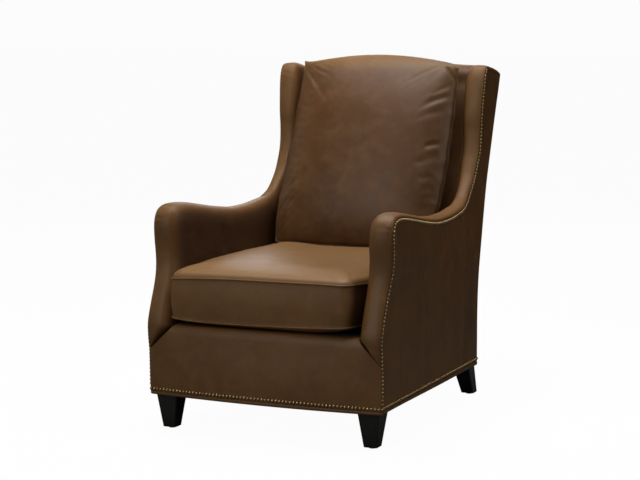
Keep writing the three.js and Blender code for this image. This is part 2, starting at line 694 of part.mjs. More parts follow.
const bolt_radius = 4;
const bolt_clearance = 0.3;
const bolt_depth = 12;
const nut_radius = 7;
const nut_height = 7;
const block_height = 46;
const block_leg = 66;
const block_nose = 13;
const bolt_offset = 18;
const front_bolt_offset = 12;
const rear_bolt_offset = 10;
function leg_set(name, rear_end, sign) {
  const x = front_width / 2 - leg_inset_x;
  const y = rear_end ? rear_leg_place : leg_inset_y;
  const bolt_x = x - bolt_offset;
  const bolt_y = rear_end ? y - rear_bolt_offset : y + front_bolt_offset;
  const leg = rear_end
    ? leg_body(rear_leg_top_width, leg_foot_width, rear_leg_rake)
    : leg_body(leg_top_width, leg_foot_width, 0);
  leg.translate(x, y, 0);
  const bore = turned_profile([
    [0, leg_height - bolt_depth - seam_gap], [bolt_radius + bolt_clearance, leg_height - bolt_depth - seam_gap],
    [bolt_radius + bolt_clearance, leg_height + bolt_depth], [0, leg_height + bolt_depth],
  ], 10);
  bore.translate(bolt_x, bolt_y, 0);
  const bored = from_manifold(to_manifold(leg).subtract(to_manifold(bore)));
  add(`${name}_leg`, on_side(bored, sign), leg_wood);

  const block_top = leg_height + block_height;
  const bolt = turned_profile([
    [0, leg_height - bolt_depth], [bolt_radius, leg_height - bolt_depth], [bolt_radius, block_top + seam_gap],
    [nut_radius, block_top + seam_gap], [nut_radius, block_top + nut_height],
    [0, block_top + nut_height],
  ], 10);
  bolt.translate(bolt_x, bolt_y, 0);
  add(`${name}_leg_bolt`, on_side(bolt, sign), steel);

  const glide = turned_profile([
    [0, 0], [glide_radius * 0.8, 0], [glide_radius, glide_height * 0.4], [glide_radius, glide_height], [0, glide_height],
  ], 12);
  glide.translate(x, rear_end ? y + rear_leg_rake : y, 0);
  add(`${name}_glide`, on_side(glide, sign), nylon);

  const wall_y = rear_end ? rear_plank(leg_height) - rail_thickness - seam_gap : front_rail_back + seam_gap;
  const into = rear_end ? -1 : 1;
  const wall = (yy) => side(yy, leg_height) - panel_thickness - rail_thickness - 2 * seam_gap;
  const far = wall_y + into * block_leg;
  const outline = [
    [wall(wall_y), wall_y], [wall(far), far], [wall(far) - block_nose, far],
    [wall(wall_y) - block_leg, wall_y + into * block_nose], [wall(wall_y) - block_leg, wall_y],
  ];
  const block = prism(outline, 'z', leg_height + seam_gap, block_top, [[bolt_x, bolt_y, bolt_radius + bolt_clearance, 10]]);
  add(`${name}_corner_block`, on_side(block, sign), frame_wood);
}

for (const [label, sign] of [['left', -1], ['right', 1]]) {
  add(`outside_arm_panel_${label}`, on_side(outside_arm(), sign), leather);
  add(`outside_wing_panel_${label}`, on_side(outside_wing(), sign), leather);
  add(`arm_roll_${label}`, arm_roll(sign), padding);
  add(`wing_roll_${label}`, on_side(roll(last_arm, last_edge, slack), sign), padding);
  add(`inside_arm_pad_${label}`, on_side(inside_arm(), sign), padding);
  add(`inside_wing_pad_${label}`, on_side(inside_wing(), sign), padding);
  add(`arm_post_${label}`, on_side(arm_post(), sign), frame_wood);
  add(`arm_rail_${label}`, on_side(arm_rail(), sign), frame_wood);
  add(`wing_post_${label}`, on_side(wing_post(), sign), frame_wood);
  add(`back_post_${label}`, on_side(back_post(), sign), frame_wood);
  add(`side_rail_${label}`, on_side(side_rail(), sign), frame_wood);
  add(`nail_row_${label}`, on_side(nail_row(), sign), brass);
  leg_set(`front_${label}`, false, sign);
  leg_set(`rear_${label}`, true, sign);
}

// Front and back rails
const raised_half = inner_half - 2 * seam_gap;
const front_half = side(front_rail_back, leg_height) - panel_thickness - seam_gap;
add('front_rail', prism([
  [-front_half, leg_height], [front_half, leg_height], [front_half, rail_top], [raised_half, rail_top],
  [raised_half, deck_rail_top], [-raised_half, deck_rail_top], [-raised_half, rail_top], [-front_half, rail_top],
], 'y', apron_skin + seam_gap, front_rail_back), frame_wood);
const back_half = rear_width / 2 - plank_inner;
const back_rail_front = rear_plank(leg_height) - rail_thickness;
add('back_rail', prism([
  [-back_half, leg_height], [back_half, leg_height], [back_half, deck_rail_top], [-back_half, deck_rail_top],
], 'y', back_rail_front, rear_plank(leg_height)), frame_wood);
add('front_apron', front_apron(), leather);

// Cross pieces of the back: grids of [x, z] given a depth behind the face of the posts
function back_layer(grid, skin, thickness, bulge = () => 0) {
  return plate(
    grid.map((row) => row.map(([x, z]) => [x, rear(z) - skin + bulge(x, z), z])),
    grid.map((row) => row.map(([x, z]) => [x, rear(z) - skin + bulge(x, z) - thickness, z])),
  );
}
const crest_top = (x) => shoulder_height + crest_arch * (1 - ease(Math.min(Math.abs(x) / inner_half, 1)));
const post_gap_half = (z) => side(rear_plank(z) - rail_thickness, z) - plank_inner;
const crest_half = inner(shoulder_height) - seam_gap;
const panel_top = (x) => crest_top(x) - shoulder_drop;
const cross_rail = (columns) => back_layer(columns, panel_thickness + tack_gap, rail_thickness);
const crest_rail_height = 62;
const crest_rail_foot = shoulder_height - crest_rail_height - roll_padding;
const rail_share_columns = [-1, -0.5, 0, 0.5, 1];
const lower_half = Math.min(post_gap_half(lower_rail_level), post_gap_half(line_level));
add('lower_back_rail', cross_rail(rail_share_columns.map((c) => (
  [[c * lower_half, lower_rail_level], [c * lower_half, line_level]]
))), frame_wood);
function crest_rail() {
  const half = Math.min(post_gap_half(crest_rail_foot), post_gap_half(back_post_top));
  const columns = [-crest_half, -0.8 * crest_half, -0.6 * crest_half, -0.4 * crest_half, -0.2 * crest_half, 0];
  const middle = [...columns, ...columns.slice(0, -1).reverse().map((x) => -x)];
  const ends = [half, crest_half + seam_gap].map((x) => [[x, crest_rail_foot], [x, back_post_top - roll_depth / 2]]);
  const mirrored = ends.map((column) => column.map(([x, z]) => [-x, z]));
  const full = middle.map((x) => [[x, crest_rail_foot], [x, panel_top(x) - seam_gap]]);
  return cross_rail([...mirrored, ...full, ...ends.reverse()]);
}
add('crest_rail', crest_rail(), frame_wood);

// Webbing: straps woven into one net on the front of the cross rails
function back_net() {
  const strap = 52;
  const columns = 4;
  const rows = 5;
  const half = inner_half - strap / 2;
  const low = lower_rail_level + 2 * seam_gap;
  const high = shoulder_height - crest_rail_height;
  const pitch_x = (2 * half - strap) / columns;
  const pitch_z = (high - low - strap) / rows;
  const sheet = new THREE.BoxGeometry(2 * half, webbing_thickness, high - low);
  sheet.translate(0, -webbing_thickness / 2, mix(low, high, 0.5));
  let net = to_manifold(sheet);
  const hole = to_manifold(new THREE.BoxGeometry(pitch_x - strap, 3 * webbing_thickness, pitch_z - strap));
  for (let c = 0; c < columns; c += 1) {
    for (let r = 0; r < rows; r += 1) {
      const middle_x = -half + (strap + pitch_x) / 2 + c * pitch_x;
      const middle_z = low + (strap + pitch_z) / 2 + r * pitch_z;
      net = net.subtract(hole.translate([middle_x, 0, middle_z]));
    }
  }
  const geometry = from_manifold(net);
  const place = geometry.getAttribute('position');
  for (let i = 0; i < place.count; i += 1) {
    place.setY(i, place.getY(i) + back_line(place.getZ(i)) - seam_gap);
  }
  return geometry;
}
add('back_webbing', back_net(), webbing);

// Padded backrest behind the pillow, from the deck to the crest
const backrest_top = shoulder_height - roll_depth * 2.5;
function inside_back() {
  const rows = 10;
  const columns = 8;
  const face = [];
  const back = [];
  for (let r = 0; r <= rows; r += 1) {
    const z = mix(deck_height + seam_gap, backrest_top, r / rows);
    const half = inner(z) - seam_gap;
    face.push([]);
    back.push([]);
    for (let c = 0; c <= columns; c += 1) {
      const s = mix(-1, 1, c / columns);
      face[r].push([s * half, backrest(z) - backrest_crown * (1 - s * s), z]);
      back[r].push([s * half, pad_rear(z), z]);
    }
  }
  return plate(face, back);
}
add('inside_back_pad', inside_back(), padding);

// Padded crest over the crest rail, arched between the wings
const crest_columns = 10;
const crest_x = (c) => mix(-crest_half, crest_half, c / crest_columns);
function crest() {
  const rings = [];
  let outline = [];
  for (let c = 0; c <= crest_columns; c += 1) {
    const x = crest_x(c);
    const top = crest_top(x) + roll_crown * 0.6;
    const foot = backrest_top + seam_gap;
    const out_foot = panel_top(x);
    const face = rear(out_foot);
    const rail_face = back_line(foot) - 2 * seam_gap;
    outline = [
      [face, out_foot], [face - roll_crown * 0.3, top - roll_padding], [face - roll_padding, top - roll_crown * 0.35],
      [face - 2.5 * roll_padding, top], [backrest(foot) + roll_depth, top - roll_crown * 0.7],
      [backrest(foot) + roll_crown, top - roll_depth], [backrest(foot), foot], [rail_face, foot], [rail_face, out_foot],
    ];
    rings.push(outline.map(([y, z]) => [x, y, z]));
  }
  return loft(rings, outline, outline);
}
add('crest_pad', crest(), padding);

// Outside back: one leather panel, slightly crowned
const back_crown = 5;
function outside_back() {
  const rows = 11;
  const grid = [];
  for (let r = 0; r <= rows; r += 1) {
    const row = [];
    for (let c = -1; c <= crest_columns + 1; c += 1) {
      const spread = crest_x(Math.min(Math.max(c, 0), crest_columns));
      const z = mix(leg_height, panel_top(spread) - seam_gap, r / rows);
      const edge = c < 0 || c > crest_columns;
      row.push([edge ? Math.sign(spread) * side(rear(z), z) : spread, z]);
    }
    grid.push(row);
  }
  const bulge = (x, z) => back_crown * Math.max(0, 1 - (x / side(rear(z), z)) ** 2) * ease(share_of(z, rail_top, arm_top));
  return back_layer(grid, 0, panel_thickness - slack / 2, bulge);
}
add('outside_back_panel', outside_back(), leather);

// Seat deck, springs and dust cover
const deck_half = inner_half - seam_gap;
add('seat_deck', prism([
  [-deck_half, apron_top_depth + seam_gap], [deck_half, apron_top_depth + seam_gap],
  [deck_half, back_rail_front - slack], [-deck_half, back_rail_front - slack],
], 'z', deck_under, deck_height), cloth);

const wire_radius = 1.9;
const spring_bends = 26;
const spring_swing = 22;
function seat_spring(x) {
  const y0 = apron_skin + rail_thickness / 2;
  const y1 = back_rail_front + rail_thickness / 2;
  const z0 = deck_rail_top + seam_gap + wire_radius;
  const rise = deck_under - seam_gap - wire_radius - z0;
  const rings = [];
  const square = [[-1, -1], [1, -1], [1, 1], [-1, 1]];
  const leg = (y1 - y0) / spring_bends;
  const slant = Math.hypot(leg, 2 * spring_swing) / leg;
  for (let i = 0; i <= spring_bends; i += 1) {
    const t = i / spring_bends;
    const swing = i === 0 || i === spring_bends ? 0 : spring_swing * (i % 2 ? 1 : -1);
    const lift = rise * Math.sin(Math.PI * t) ** 0.5;
    const half = wire_radius * slant;
    rings.push(square.map(([a, b]) => [x + swing + a * half, mix(y0, y1, t), z0 + lift + b * wire_radius]));
  }
  return loft(rings, square, square);
}
const spring_count = 5;
const spring_pitch = 112;
for (let i = 0; i < spring_count; i += 1) {
  add(`seat_spring_${i + 1}`, seat_spring((i - (spring_count - 1) / 2) * spring_pitch), steel);
}

const cover_thickness = 1.4;
const cover_inset = 10;
function dust_cover() {
  const notch = 4;
  const half_front = front_width / 2 - cover_inset;
  const half_rear = rear_width / 2 - cover_inset;
  const front = cover_inset;
  const back = base_depth - cover_inset;
  const inside = front_width / 2 - leg_inset_x - leg_top_width / 2 - notch;
  const front_notch = leg_inset_y + leg_top_width / 2 + notch;
  const rear_notch = rear_leg_place - rear_leg_top_width / 2 - notch;
  const right = [
    [inside, front], [inside, front_notch], [half_front, front_notch], [half_rear, rear_notch],
    [inside, rear_notch], [inside, back],
  ];
  const left = right.map(([x, y]) => [-x, y]).reverse();
  return prism([...right, ...left], 'z', leg_height - seam_gap - cover_thickness, leg_height - seam_gap);
}
add('dust_cover', dust_cover(), cloth);

const welt_radius = 3;
const welt = [];
for (let i = 0; i < 8; i += 1) {
  const turn = (Math.PI * (i + 0.5)) / 4;
  welt.push([welt_radius * Math.cos(turn), welt_radius * Math.sin(turn)]);
}
add('base_welt', base_ring(1, leg_height - seam_gap - welt_radius, welt), leather);
const base_nail_section = nail_section_shares.map(([w, h]) => [h * nail_height, w * nail_width]);
add('nail_row_base', base_ring(tack_gap, nail_base_level, base_nail_section), brass);

// Seat cushion: rounded corners, boxed sides that draw in, crowned top and underside
const cushion_rear = backrest(cushion_seam_low) - backrest_crown - slack;
function cushion_outline(flare) {
  const points = [];
  const half = cushion_width / 2;
  const straight = 7;
  const corner = 5;
  const add_corner = (cx, cy, from) => {
    for (let i = 0; i <= corner; i += 1) {
      const turn = from + (Math.PI / 2) * (i / corner);
      points.push([cx + cushion_corner * Math.cos(turn), cy + cushion_corner * Math.sin(turn)]);
    }
  };
  const add_side = (a, b) => {
    for (let i = 1; i < straight; i += 1) {
      const t = i / straight;
      const draw = cushion_draw * Math.sin(Math.PI * t);
      const length = Math.hypot(b[0] - a[0], b[1] - a[1]);
      const inward = [-(b[1] - a[1]) / length, (b[0] - a[0]) / length];
      points.push([mix(a[0], b[0], t) + inward[0] * draw, mix(a[1], b[1], t) + inward[1] * draw]);
    }
  };
  const x = half - cushion_corner;
  const front = cushion_front + cushion_corner;
  const back = cushion_rear - cushion_corner;
  add_corner(x, front, -Math.PI / 2);
  add_side([half, front], [half, back]);
  add_corner(x, back, 0);
  add_side([x, cushion_rear], [-x, cushion_rear]);
  add_corner(-x, back, Math.PI / 2);
  add_side([-half, back], [-half, front]);
  add_corner(-x, front, Math.PI);
  add_side([-x, cushion_front], [x, cushion_front]);
  return points.map(([px, py]) => {
    const near = ease(share_of(arm_setback - py, 0, arm_setback));
    return [px * (1 + (flare * near) / half), py];
  });
}
function seat_cushion() {
  const middle = [0, mix(cushion_front, cushion_rear, 0.5)];
  const foot = deck_height + seam_gap;
  const rings = [];
  const crown_shares = [[0.3, 1], [0.58, 0.985], [0.79, 0.92], [0.915, 0.7], [0.98, 0.32]];
  const belly_shares = [[0.96, 0.3], [0.86, 0.72], [0.7, 0.95], [0.55, 1], [0.25, 1]];
  const ring = (flare, share, z) => cushion_outline(flare)
    .map(([x, y]) => [mix(middle[0], x, share), mix(middle[1], y, share), z]);
  for (const [share, up] of crown_shares) {
    rings.push(ring(cushion_flare, share, mix(cushion_seam_high, cushion_top, up)));
  }
  rings.push(ring(cushion_flare, 1, cushion_seam_high));
  rings.push(ring(cushion_flare / 2, 1 - cushion_draw / cushion_width, mix(cushion_seam_low, cushion_seam_high, 0.5)));
  rings.push(ring(0, 1, cushion_seam_low));
  for (const [share, down] of belly_shares) {
    rings.push(ring(0, share, mix(cushion_seam_low, foot, down)));
  }
  const flat = rings.map((points) => points.map(([x, y]) => [x, y]));
  return loft(rings, flat[0], flat[flat.length - 1]);
}
add('seat_cushion', seat_cushion(), cushion_leather);

// Back pillow: two crowned faces that meet in one seam, with small pointed upper corners
const pillow_end_share = 0.93;
const pillow_belly_reach = 1.15;
const pillow_belly_power = 0.6;
function half_at(v) {
  const belly = Math.sin(Math.PI * Math.min(v * pillow_belly_reach, 1)) ** pillow_belly_power;
  return (pillow_width / 2) * mix(pillow_end_share, 1, belly);
}
function pillow_outline() {
  const points = [];
  const across_steps = 12;
  const up_steps = 10;
  const side_draw = (v) => 1 - 0.5 * (pillow_draw / pillow_width) * Math.sin(2 * Math.PI * v) ** 2;
  for (let i = 0; i < across_steps; i += 1) {
    const s = mix(-1, 1, i / across_steps);
    points.push([s * half_at(0), pillow_sag * (s * s - 1)]);
  }
  for (let i = 0; i < up_steps; i += 1) {
    const v = i / up_steps;
    points.push([half_at(v) * side_draw(v), v * pillow_length]);
  }
  for (let i = 0; i < across_steps; i += 1) {
    const s = mix(1, -1, i / across_steps);
    points.push([s * half_at(1), pillow_length + pillow_arch * (1 - s * s)]);
  }
  for (let i = 0; i < up_steps; i += 1) {
    const v = 1 - i / up_steps;
    points.push([-half_at(v) * side_draw(v), v * pillow_length]);
  }
  return points;
}
function back_pillow() {
  const outline = pillow_outline();
  const middle = pillow_length * 0.47;
  const rake = Math.atan(backrest_lean_share * (back_lean / back_rise)) + THREE.MathUtils.degToRad(pillow_tip_deg);
  const rings = [];
  const place = (share, swell) => outline.map(([u, v]) => {
    const x = u * share;
    const up = mix(middle, v, share);
    return [
      x,
      pillow_foot_y + up * Math.sin(rake) - swell * Math.cos(rake),
      pillow_foot_z + up * Math.cos(rake) + swell * Math.sin(rake),
    ];
  });
  const swell_shares = [[0.25, 1], [0.5, 0.93], [0.7, 0.79], [0.86, 0.55], [0.96, 0.24]];
  for (const [share, full] of swell_shares) rings.push(place(share, pillow_front_swell * full));
  rings.push(place(1, 0));
  const rear_swell_shares = [[0.96, 0.36], [0.86, 0.76], [0.7, 0.95], [0.5, 1], [0.25, 1]];
  for (const [share, full] of rear_swell_shares) rings.push(place(share, -pillow_rear_swell * full));
  const flat = rings.map((points) => points.map(([x, , z]) => [x, z]));
  return loft(rings, flat[0], flat[flat.length - 1]);
}
add('back_pillow', back_pillow(), cushion_leather);

// The origin: middle of the chair's box, at the floor
const box = new THREE.Box3().setFromObject(chair);
chair.position.set(-(box.min.x + box.max.x) / 2, -(box.min.y + box.max.y) / 2, -box.min.z);

export default chair;
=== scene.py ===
import json

import bpy
import numpy as np
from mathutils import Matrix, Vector
from mathutils.bvhtree import BVHTree


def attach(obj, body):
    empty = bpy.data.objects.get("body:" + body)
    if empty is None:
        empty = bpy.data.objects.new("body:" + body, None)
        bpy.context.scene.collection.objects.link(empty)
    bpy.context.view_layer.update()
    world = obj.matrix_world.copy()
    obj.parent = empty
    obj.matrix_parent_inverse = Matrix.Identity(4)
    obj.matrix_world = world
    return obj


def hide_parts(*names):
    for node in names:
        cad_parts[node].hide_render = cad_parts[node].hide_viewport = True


bl_info = {
    "name": "Wingback armchair",
    "version": (1, 0, 0),
    "blender": (4, 5, 0),
    "location": "View3D > Sidebar > Armchair",
    "description": "Leather covers, cushions, nails and stage of a wingback armchair",
    "category": "Add Mesh",
}

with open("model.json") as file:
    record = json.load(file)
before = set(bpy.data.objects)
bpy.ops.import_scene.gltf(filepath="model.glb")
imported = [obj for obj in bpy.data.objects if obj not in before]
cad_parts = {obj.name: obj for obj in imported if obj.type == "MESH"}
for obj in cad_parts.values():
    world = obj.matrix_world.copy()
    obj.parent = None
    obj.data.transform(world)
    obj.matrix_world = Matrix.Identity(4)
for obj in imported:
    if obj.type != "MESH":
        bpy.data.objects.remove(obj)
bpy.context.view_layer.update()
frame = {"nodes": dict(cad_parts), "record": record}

# ---------------------------------------------------------------------------------------------
# Sizes of the chair in millimetres. The apron's face is near Y = 0 and the back is towards +Y.
# ---------------------------------------------------------------------------------------------
ORIGIN = np.array([0.0, 506.6034, 0.0])
FRONT_WIDTH = 730
REAR_WIDTH = 714
BASE_DEPTH = 822
BACK_LEAN = 202
LEG_HEIGHT = 114
ARM_RISE = 530
ARM_SETBACK = 56
ARM_RUN = 634
ARM_DIP = 48
SEAM_Y = 690
SEAM_Z = 608
WING_RUN = 196
WING_RISE = 428
SHOULDER_HEIGHT = 1036
SHOULDER_RUN = 136
SHOULDER_DROP = 26
CREST_ARCH = 16
BACK_RISE = 922
INNER_HALF = 289
WING_SPREAD = 2
WING_LINING = 13
DECK_HEIGHT = 313
APRON_SHOULDER = 238
APRON_HALF = 364.7
PANEL = 4
NAIL_INSET = 5.5
NAIL_LEVEL = 122
FRONT_BOW = 14
STEP = 4.4
COVER_THICKNESS = 3.0
ARM_FLARE = 10
WAIST = 15.5
BACKREST_DEPTH = 742
BACKREST_BEND = 488
BACKREST_LEAN = 1.78
BACKREST_FOOT_LEAN = 0.456
CREST_FOOT = 986.3
ARM_CORNER_PLACE = (62.5, 631)
WING_CORNER_PLACE = (886, SHOULDER_HEIGHT)

REAR_SHARES = [(0, 0), (0.2, 0.005), (0.31, 0.055), (0.41, 0.165), (0.69, 0.59), (0.975, 1), (1, 1.04)]
FRONT_EDGE = [
    (-0.04, 0), (-0.05, 0.16), (-0.09, 0.24), (-0.18, 0.31), (-0.18, 0.385), (0.04, 0.455), (0.32, 0.526),
    (0.59, 0.59), (0.79, 0.64), (0.95, 0.7), (1, 0.768), (0.95, 0.836), (0.91, 0.894), (0.96, 0.94), (1.12, 0.975),
]
ARM_EDGE = [
    (0.01, 0.27), (0.044, 0.04), (0.1, 0), (0.17, 0.083), (0.34, 0.4375), (0.435, 0.646), (0.6, 0.9375),
    (0.715, 1), (0.84, 0.958), (1, 0.75),
]
WING_EDGE = [
    (0, 0), (0.194, 0.033), (0.316, 0.065), (0.474, 0.133), (0.602, 0.2), (0.689, 0.266), (0.811, 0.383),
    (0.852, 0.528), (0.847, 0.65), (0.872, 0.769), (0.898, 0.867), (0.935, 0.945), (1, 1),
]
SHOULDER_EDGE = [(0, 0), (0.13, -0.06), (0.4, 0.13), (0.75, 0.5), (0.96, 0.9)]


# ---------------------------------------------------------------------------------------------
# Numbers
# ---------------------------------------------------------------------------------------------
def mix(a, b, share):
    return a + (b - a) * share


def share_of(value, low, high):
    return np.clip((value - low) / (high - low), 0, 1)


def mix_colour(a, b, share):
    return tuple(mix(x, y, share) for x, y in zip(a, b))


def ease(share):
    return share * share * (3 - 2 * share)


def curve_at(pairs, place):
    """Value of a smooth curve through (place, value) pairs."""
    xs = np.array([p[0] for p in pairs], float)
    ys = np.array([p[1] for p in pairs], float)
    last = len(xs) - 1
    i = np.clip(np.searchsorted(xs, place) - 1, 0, last - 1)
    before = np.maximum(i - 1, 0)
    after = np.minimum(i + 2, last)
    span = xs[i + 1] - xs[i]
    slope0 = (ys[i + 1] - ys[before]) / (xs[i + 1] - xs[before]) * span
    slope1 = (ys[after] - ys[i]) / (xs[after] - xs[i]) * span
    t = (place - xs[i]) / span
    t2 = t * t
    t3 = t2 * t
    rest = (t3 - 2 * t2 + t) * slope0 + (t3 - t2) * slope1
    return (2 * t3 - 3 * t2 + 1) * ys[i] + (3 * t2 - 2 * t3) * ys[i + 1] + rest


def rear(z):
    """Depth of the outside back at height z."""
    return BASE_DEPTH + BACK_LEAN * curve_at(REAR_SHARES, (np.asarray(z, float) - LEG_HEIGHT) / BACK_RISE)


def side(y, z):
    """Distance of a side's outer face from the middle plane."""
    plain = mix(FRONT_WIDTH, REAR_WIDTH, share_of(y, 0, BASE_DEPTH)) / 2
    up = (z - LEG_HEIGHT) / BACK_RISE
    along = share_of(y, ARM_SETBACK, SEAM_Y + WING_RUN / 3)
    flare = ARM_FLARE * ease(share_of(up, 0.31, 0.485))
    gone = ease(share_of(up, 0.642, 1))
    waist = WAIST * ease(share_of(up, 0.345, 0.642)) * (1 - 0.75 * gone)
    forward = mix(0.4, 1, share_of(rear(z) - y, 0, SHOULDER_RUN))
    return plain + flare * (1 - along) - waist * along * forward


def inner(z):
    """Distance of a side's inner face from the middle plane."""
    return INNER_HALF + WING_SPREAD * ease(share_of((z - LEG_HEIGHT) / BACK_RISE, 0.55, 1))


def lining(z):
    """Distance of a wing's padded inner face from the middle plane; thicker than the frame's own pad."""
    z = np.asarray(z, float)
    return inner(z) - WING_LINING * ease(share_of(z, 640, 740)) * (1 - 0.5 * ease(share_of(z, 990, 1036)))


def backrest(z):
    """Depth of the padded face behind the pillow."""
    lean = np.where(z > BACKREST_BEND, BACKREST_LEAN, BACKREST_FOOT_LEAN)
    return BACKREST_DEPTH + (z - BACKREST_BEND) * lean * (BACK_LEAN / BACK_RISE)


def front_bow(x, z=LEG_HEIGHT):
    """How far the middle of the front stands forward, at the base and, less and less, above it."""
    share = (np.asarray(z, float) - LEG_HEIGHT) / (DECK_HEIGHT - LEG_HEIGHT)
    return FRONT_BOW * np.maximum(0, 1 - (2 * x / FRONT_WIDTH) ** 2) * (1 - ease(share_of(share, 0.1, 0.97)))


def crest_top(x):
    return SHOULDER_HEIGHT + CREST_ARCH * (1 - ease(np.minimum(np.abs(x) / INNER_HALF, 1)))


def line_length(line):
    return np.linalg.norm(np.diff(line, axis=0), axis=1).sum()


def resampled(points, step):
    """Points evenly spaced along a line."""
    points = np.asarray(points, float)
    lengths = np.concatenate([[0], np.cumsum(np.linalg.norm(np.diff(points, axis=0), axis=1))])
    count = max(2, int(round(lengths[-1] / step)) + 1)
    places = np.linspace(0, lengths[-1], count)
    return np.stack([np.interp(places, lengths, points[:, k]) for k in range(points.shape[1])], 1)


def softened(points, times):
    """The same line with its small corners rounded and its ends kept."""
    points = np.array(points, float)
    for _ in range(times):
        points[1:-1] = (points[:-2] + 2 * points[1:-1] + points[2:]) / 4
    return points


def spline(points):
    """Dense points on a smooth curve through a few points."""
    p = np.asarray(points, float)
    padded = np.concatenate([p[:1], p, p[-1:]])
    t = np.linspace(0, 1, 24, endpoint=False)[:, None]
    out = []
    for i in range(len(p) - 1):
        a, b, c, d = padded[i:i + 4]
        v0, v1 = (c - a) / 2, (d - b) / 2
        out.append((2 * b - 2 * c + v0 + v1) * t**3 + (3 * c - 3 * b - 2 * v0 - v1) * t**2 + v0 * t + b)
    return np.concatenate([*out, p[-1:]])


def edge_run(shares, y0, y_size, z0, z_size):
    return spline([(y0 + y * y_size, z0 + z * z_size) for y, z in shares])


def whole_edge():
    """Front and top edge of a side panel from the base to the back, as [depth, height] rows."""
    front = edge_run(FRONT_EDGE, 0, ARM_SETBACK, LEG_HEIGHT, ARM_RISE)
    arm = edge_run(ARM_EDGE, ARM_SETBACK, ARM_RUN, LEG_HEIGHT + ARM_RISE, -ARM_DIP)
    wing = edge_run(WING_EDGE, SEAM_Y, WING_RUN, SEAM_Z, WING_RISE)
    shoulder = edge_run(SHOULDER_EDGE, SEAM_Y + WING_RUN, SHOULDER_RUN, SHOULDER_HEIGHT, -SHOULDER_DROP)
    line = np.concatenate([front, arm[1:], wing[1:], shoulder[1:]])
    return softened(resampled(line, STEP), 5)


def normals_2d(line):
    along = np.gradient(line, axis=0)
    along /= np.linalg.norm(along, axis=1)[:, None]
    return np.stack([-along[:, 1], along[:, 0]], 1)


EDGE = whole_edge()
EDGE_NORMAL = normals_2d(EDGE)
ARM_CORNER, ARM_END, WING_CORNER = (
    int(np.argmin(np.hypot(EDGE[:, 0] - y, EDGE[:, 1] - z)))
    for y, z in (ARM_CORNER_PLACE, (SEAM_Y, SEAM_Z), WING_CORNER_PLACE)
)


# ---------------------------------------------------------------------------------------------
# Shapes: points in millimetres and quads
# ---------------------------------------------------------------------------------------------
def grid_quads(rows, columns, start=0):
    r, c = np.meshgrid(np.arange(rows - 1), np.arange(columns - 1), indexing="ij")
    a = (start + r * columns + c).ravel()
    return np.stack([a, a + 1, a + columns + 1, a + columns], 1)


def joined(grids):
    """One shape from grids of points that share their borders."""
    points, quads, start = [], [], 0
    for grid in grids:
        rows, columns = grid.shape[:2]
        points.append(grid.reshape(-1, 3))
        quads.append(grid_quads(rows, columns, start))
        start += rows * columns
    return welded(np.concatenate(points), np.concatenate(quads))


def welded(points, quads):
    keys = np.round(points / 0.02).astype(np.int64)
    _, first, where = np.unique(keys, axis=0, return_index=True, return_inverse=True)
    return points[first], where.ravel()[quads]


def face_normals(points, quads):
    a = points[quads[:, 2]] - points[quads[:, 0]]
    b = points[quads[:, 3]] - points[quads[:, 1]]
    return np.cross(a, b)


def point_normals(points, quads):
    out = np.zeros_like(points)
    flat = face_normals(points, quads)
    for k in range(4):
        np.add.at(out, quads[:, k], flat)
    return out / np.maximum(np.linalg.norm(out, axis=1), 1e-9)[:, None]


def patch(left, right, low, high):
    """Grid of points that fills four border lines."""
    u = np.linspace(0, 1, len(low))[None, :, None]
    v = np.linspace(0, 1, len(left))[:, None, None]
    borders = mix(left[:, None], right[:, None], u) + mix(low[None], high[None], v)
    corners = mix(mix(left[0], left[-1], v), mix(right[0], right[-1], v), u)
    return borders - corners


def line_between(a, b, count):
    return mix(np.asarray(a, float)[None], np.asarray(b, float)[None], np.linspace(0, 1, count)[:, None])


def mirrored(points, quads):
    return points * [-1, 1, 1], quads[:, ::-1]


def line_distance(points, path):
    """Distance of points to a path, share of the path's length there, and the nearest points."""
    best = np.full(len(points), 1e9)
    share = np.zeros(len(points))
    near = np.zeros_like(points)
    lengths = np.concatenate([[0], np.cumsum(np.linalg.norm(np.diff(path, axis=0), axis=1))])
    for i in range(len(path) - 1):
        step = path[i + 1] - path[i]
        t = np.clip((points - path[i]) @ step / max(step @ step, 1e-9), 0, 1)
        foot = path[i] + t[:, None] * step
        gap = np.linalg.norm(points - foot, axis=1)
        closer = gap < best
        best[closer] = gap[closer]
        near[closer] = foot[closer]
        share[closer] = (lengths[i] + t[closer] * (lengths[i + 1] - lengths[i])) / lengths[-1]
    return best, share, near


FOLD_TAIL = 0.25
FOLD_STEP = 6


def fold(points, normals, path, width, depth, ridge, lap):
    """Presses a soft valley into the surface along a path, with a swelling beside it and a lap over it."""
    gap, share, near = line_distance(points, path)
    ends = ease(share_of(share, 0, FOLD_TAIL)) * ease(share_of(1 - share, 0, FOLD_TAIL))
    middle = int(np.argmin(gap))
    facing = np.clip((normals @ normals[middle]) * 1.6 - 0.2, 0, 1)
    d = gap / width
    valley = np.exp(-d * d)
    beside = np.exp(-((d - 1.9) ** 2))
    shape = -valley + ridge * beside
    if lap:
        across = np.cross(path[-1] - path[0], normals[middle])
        sign = np.sign((points - near) @ across)
        shape = shape + lap * sign * np.exp(-((d - 1.0) ** 2))
    return points + normals * (shape * depth * ends * facing)[:, None]


# Camera at the photograph's view, in millimetres, and points that it sees through a pixel
CAMERA_PLACE = np.array([2253.05, -4645.08, 1232.71])
CAMERA_TURN = np.radians(24.077)
CAMERA_DIP = np.radians(7.246)
CAMERA_LENS = 103.96
SENSOR = 36.0
IMAGE = (640, 480)


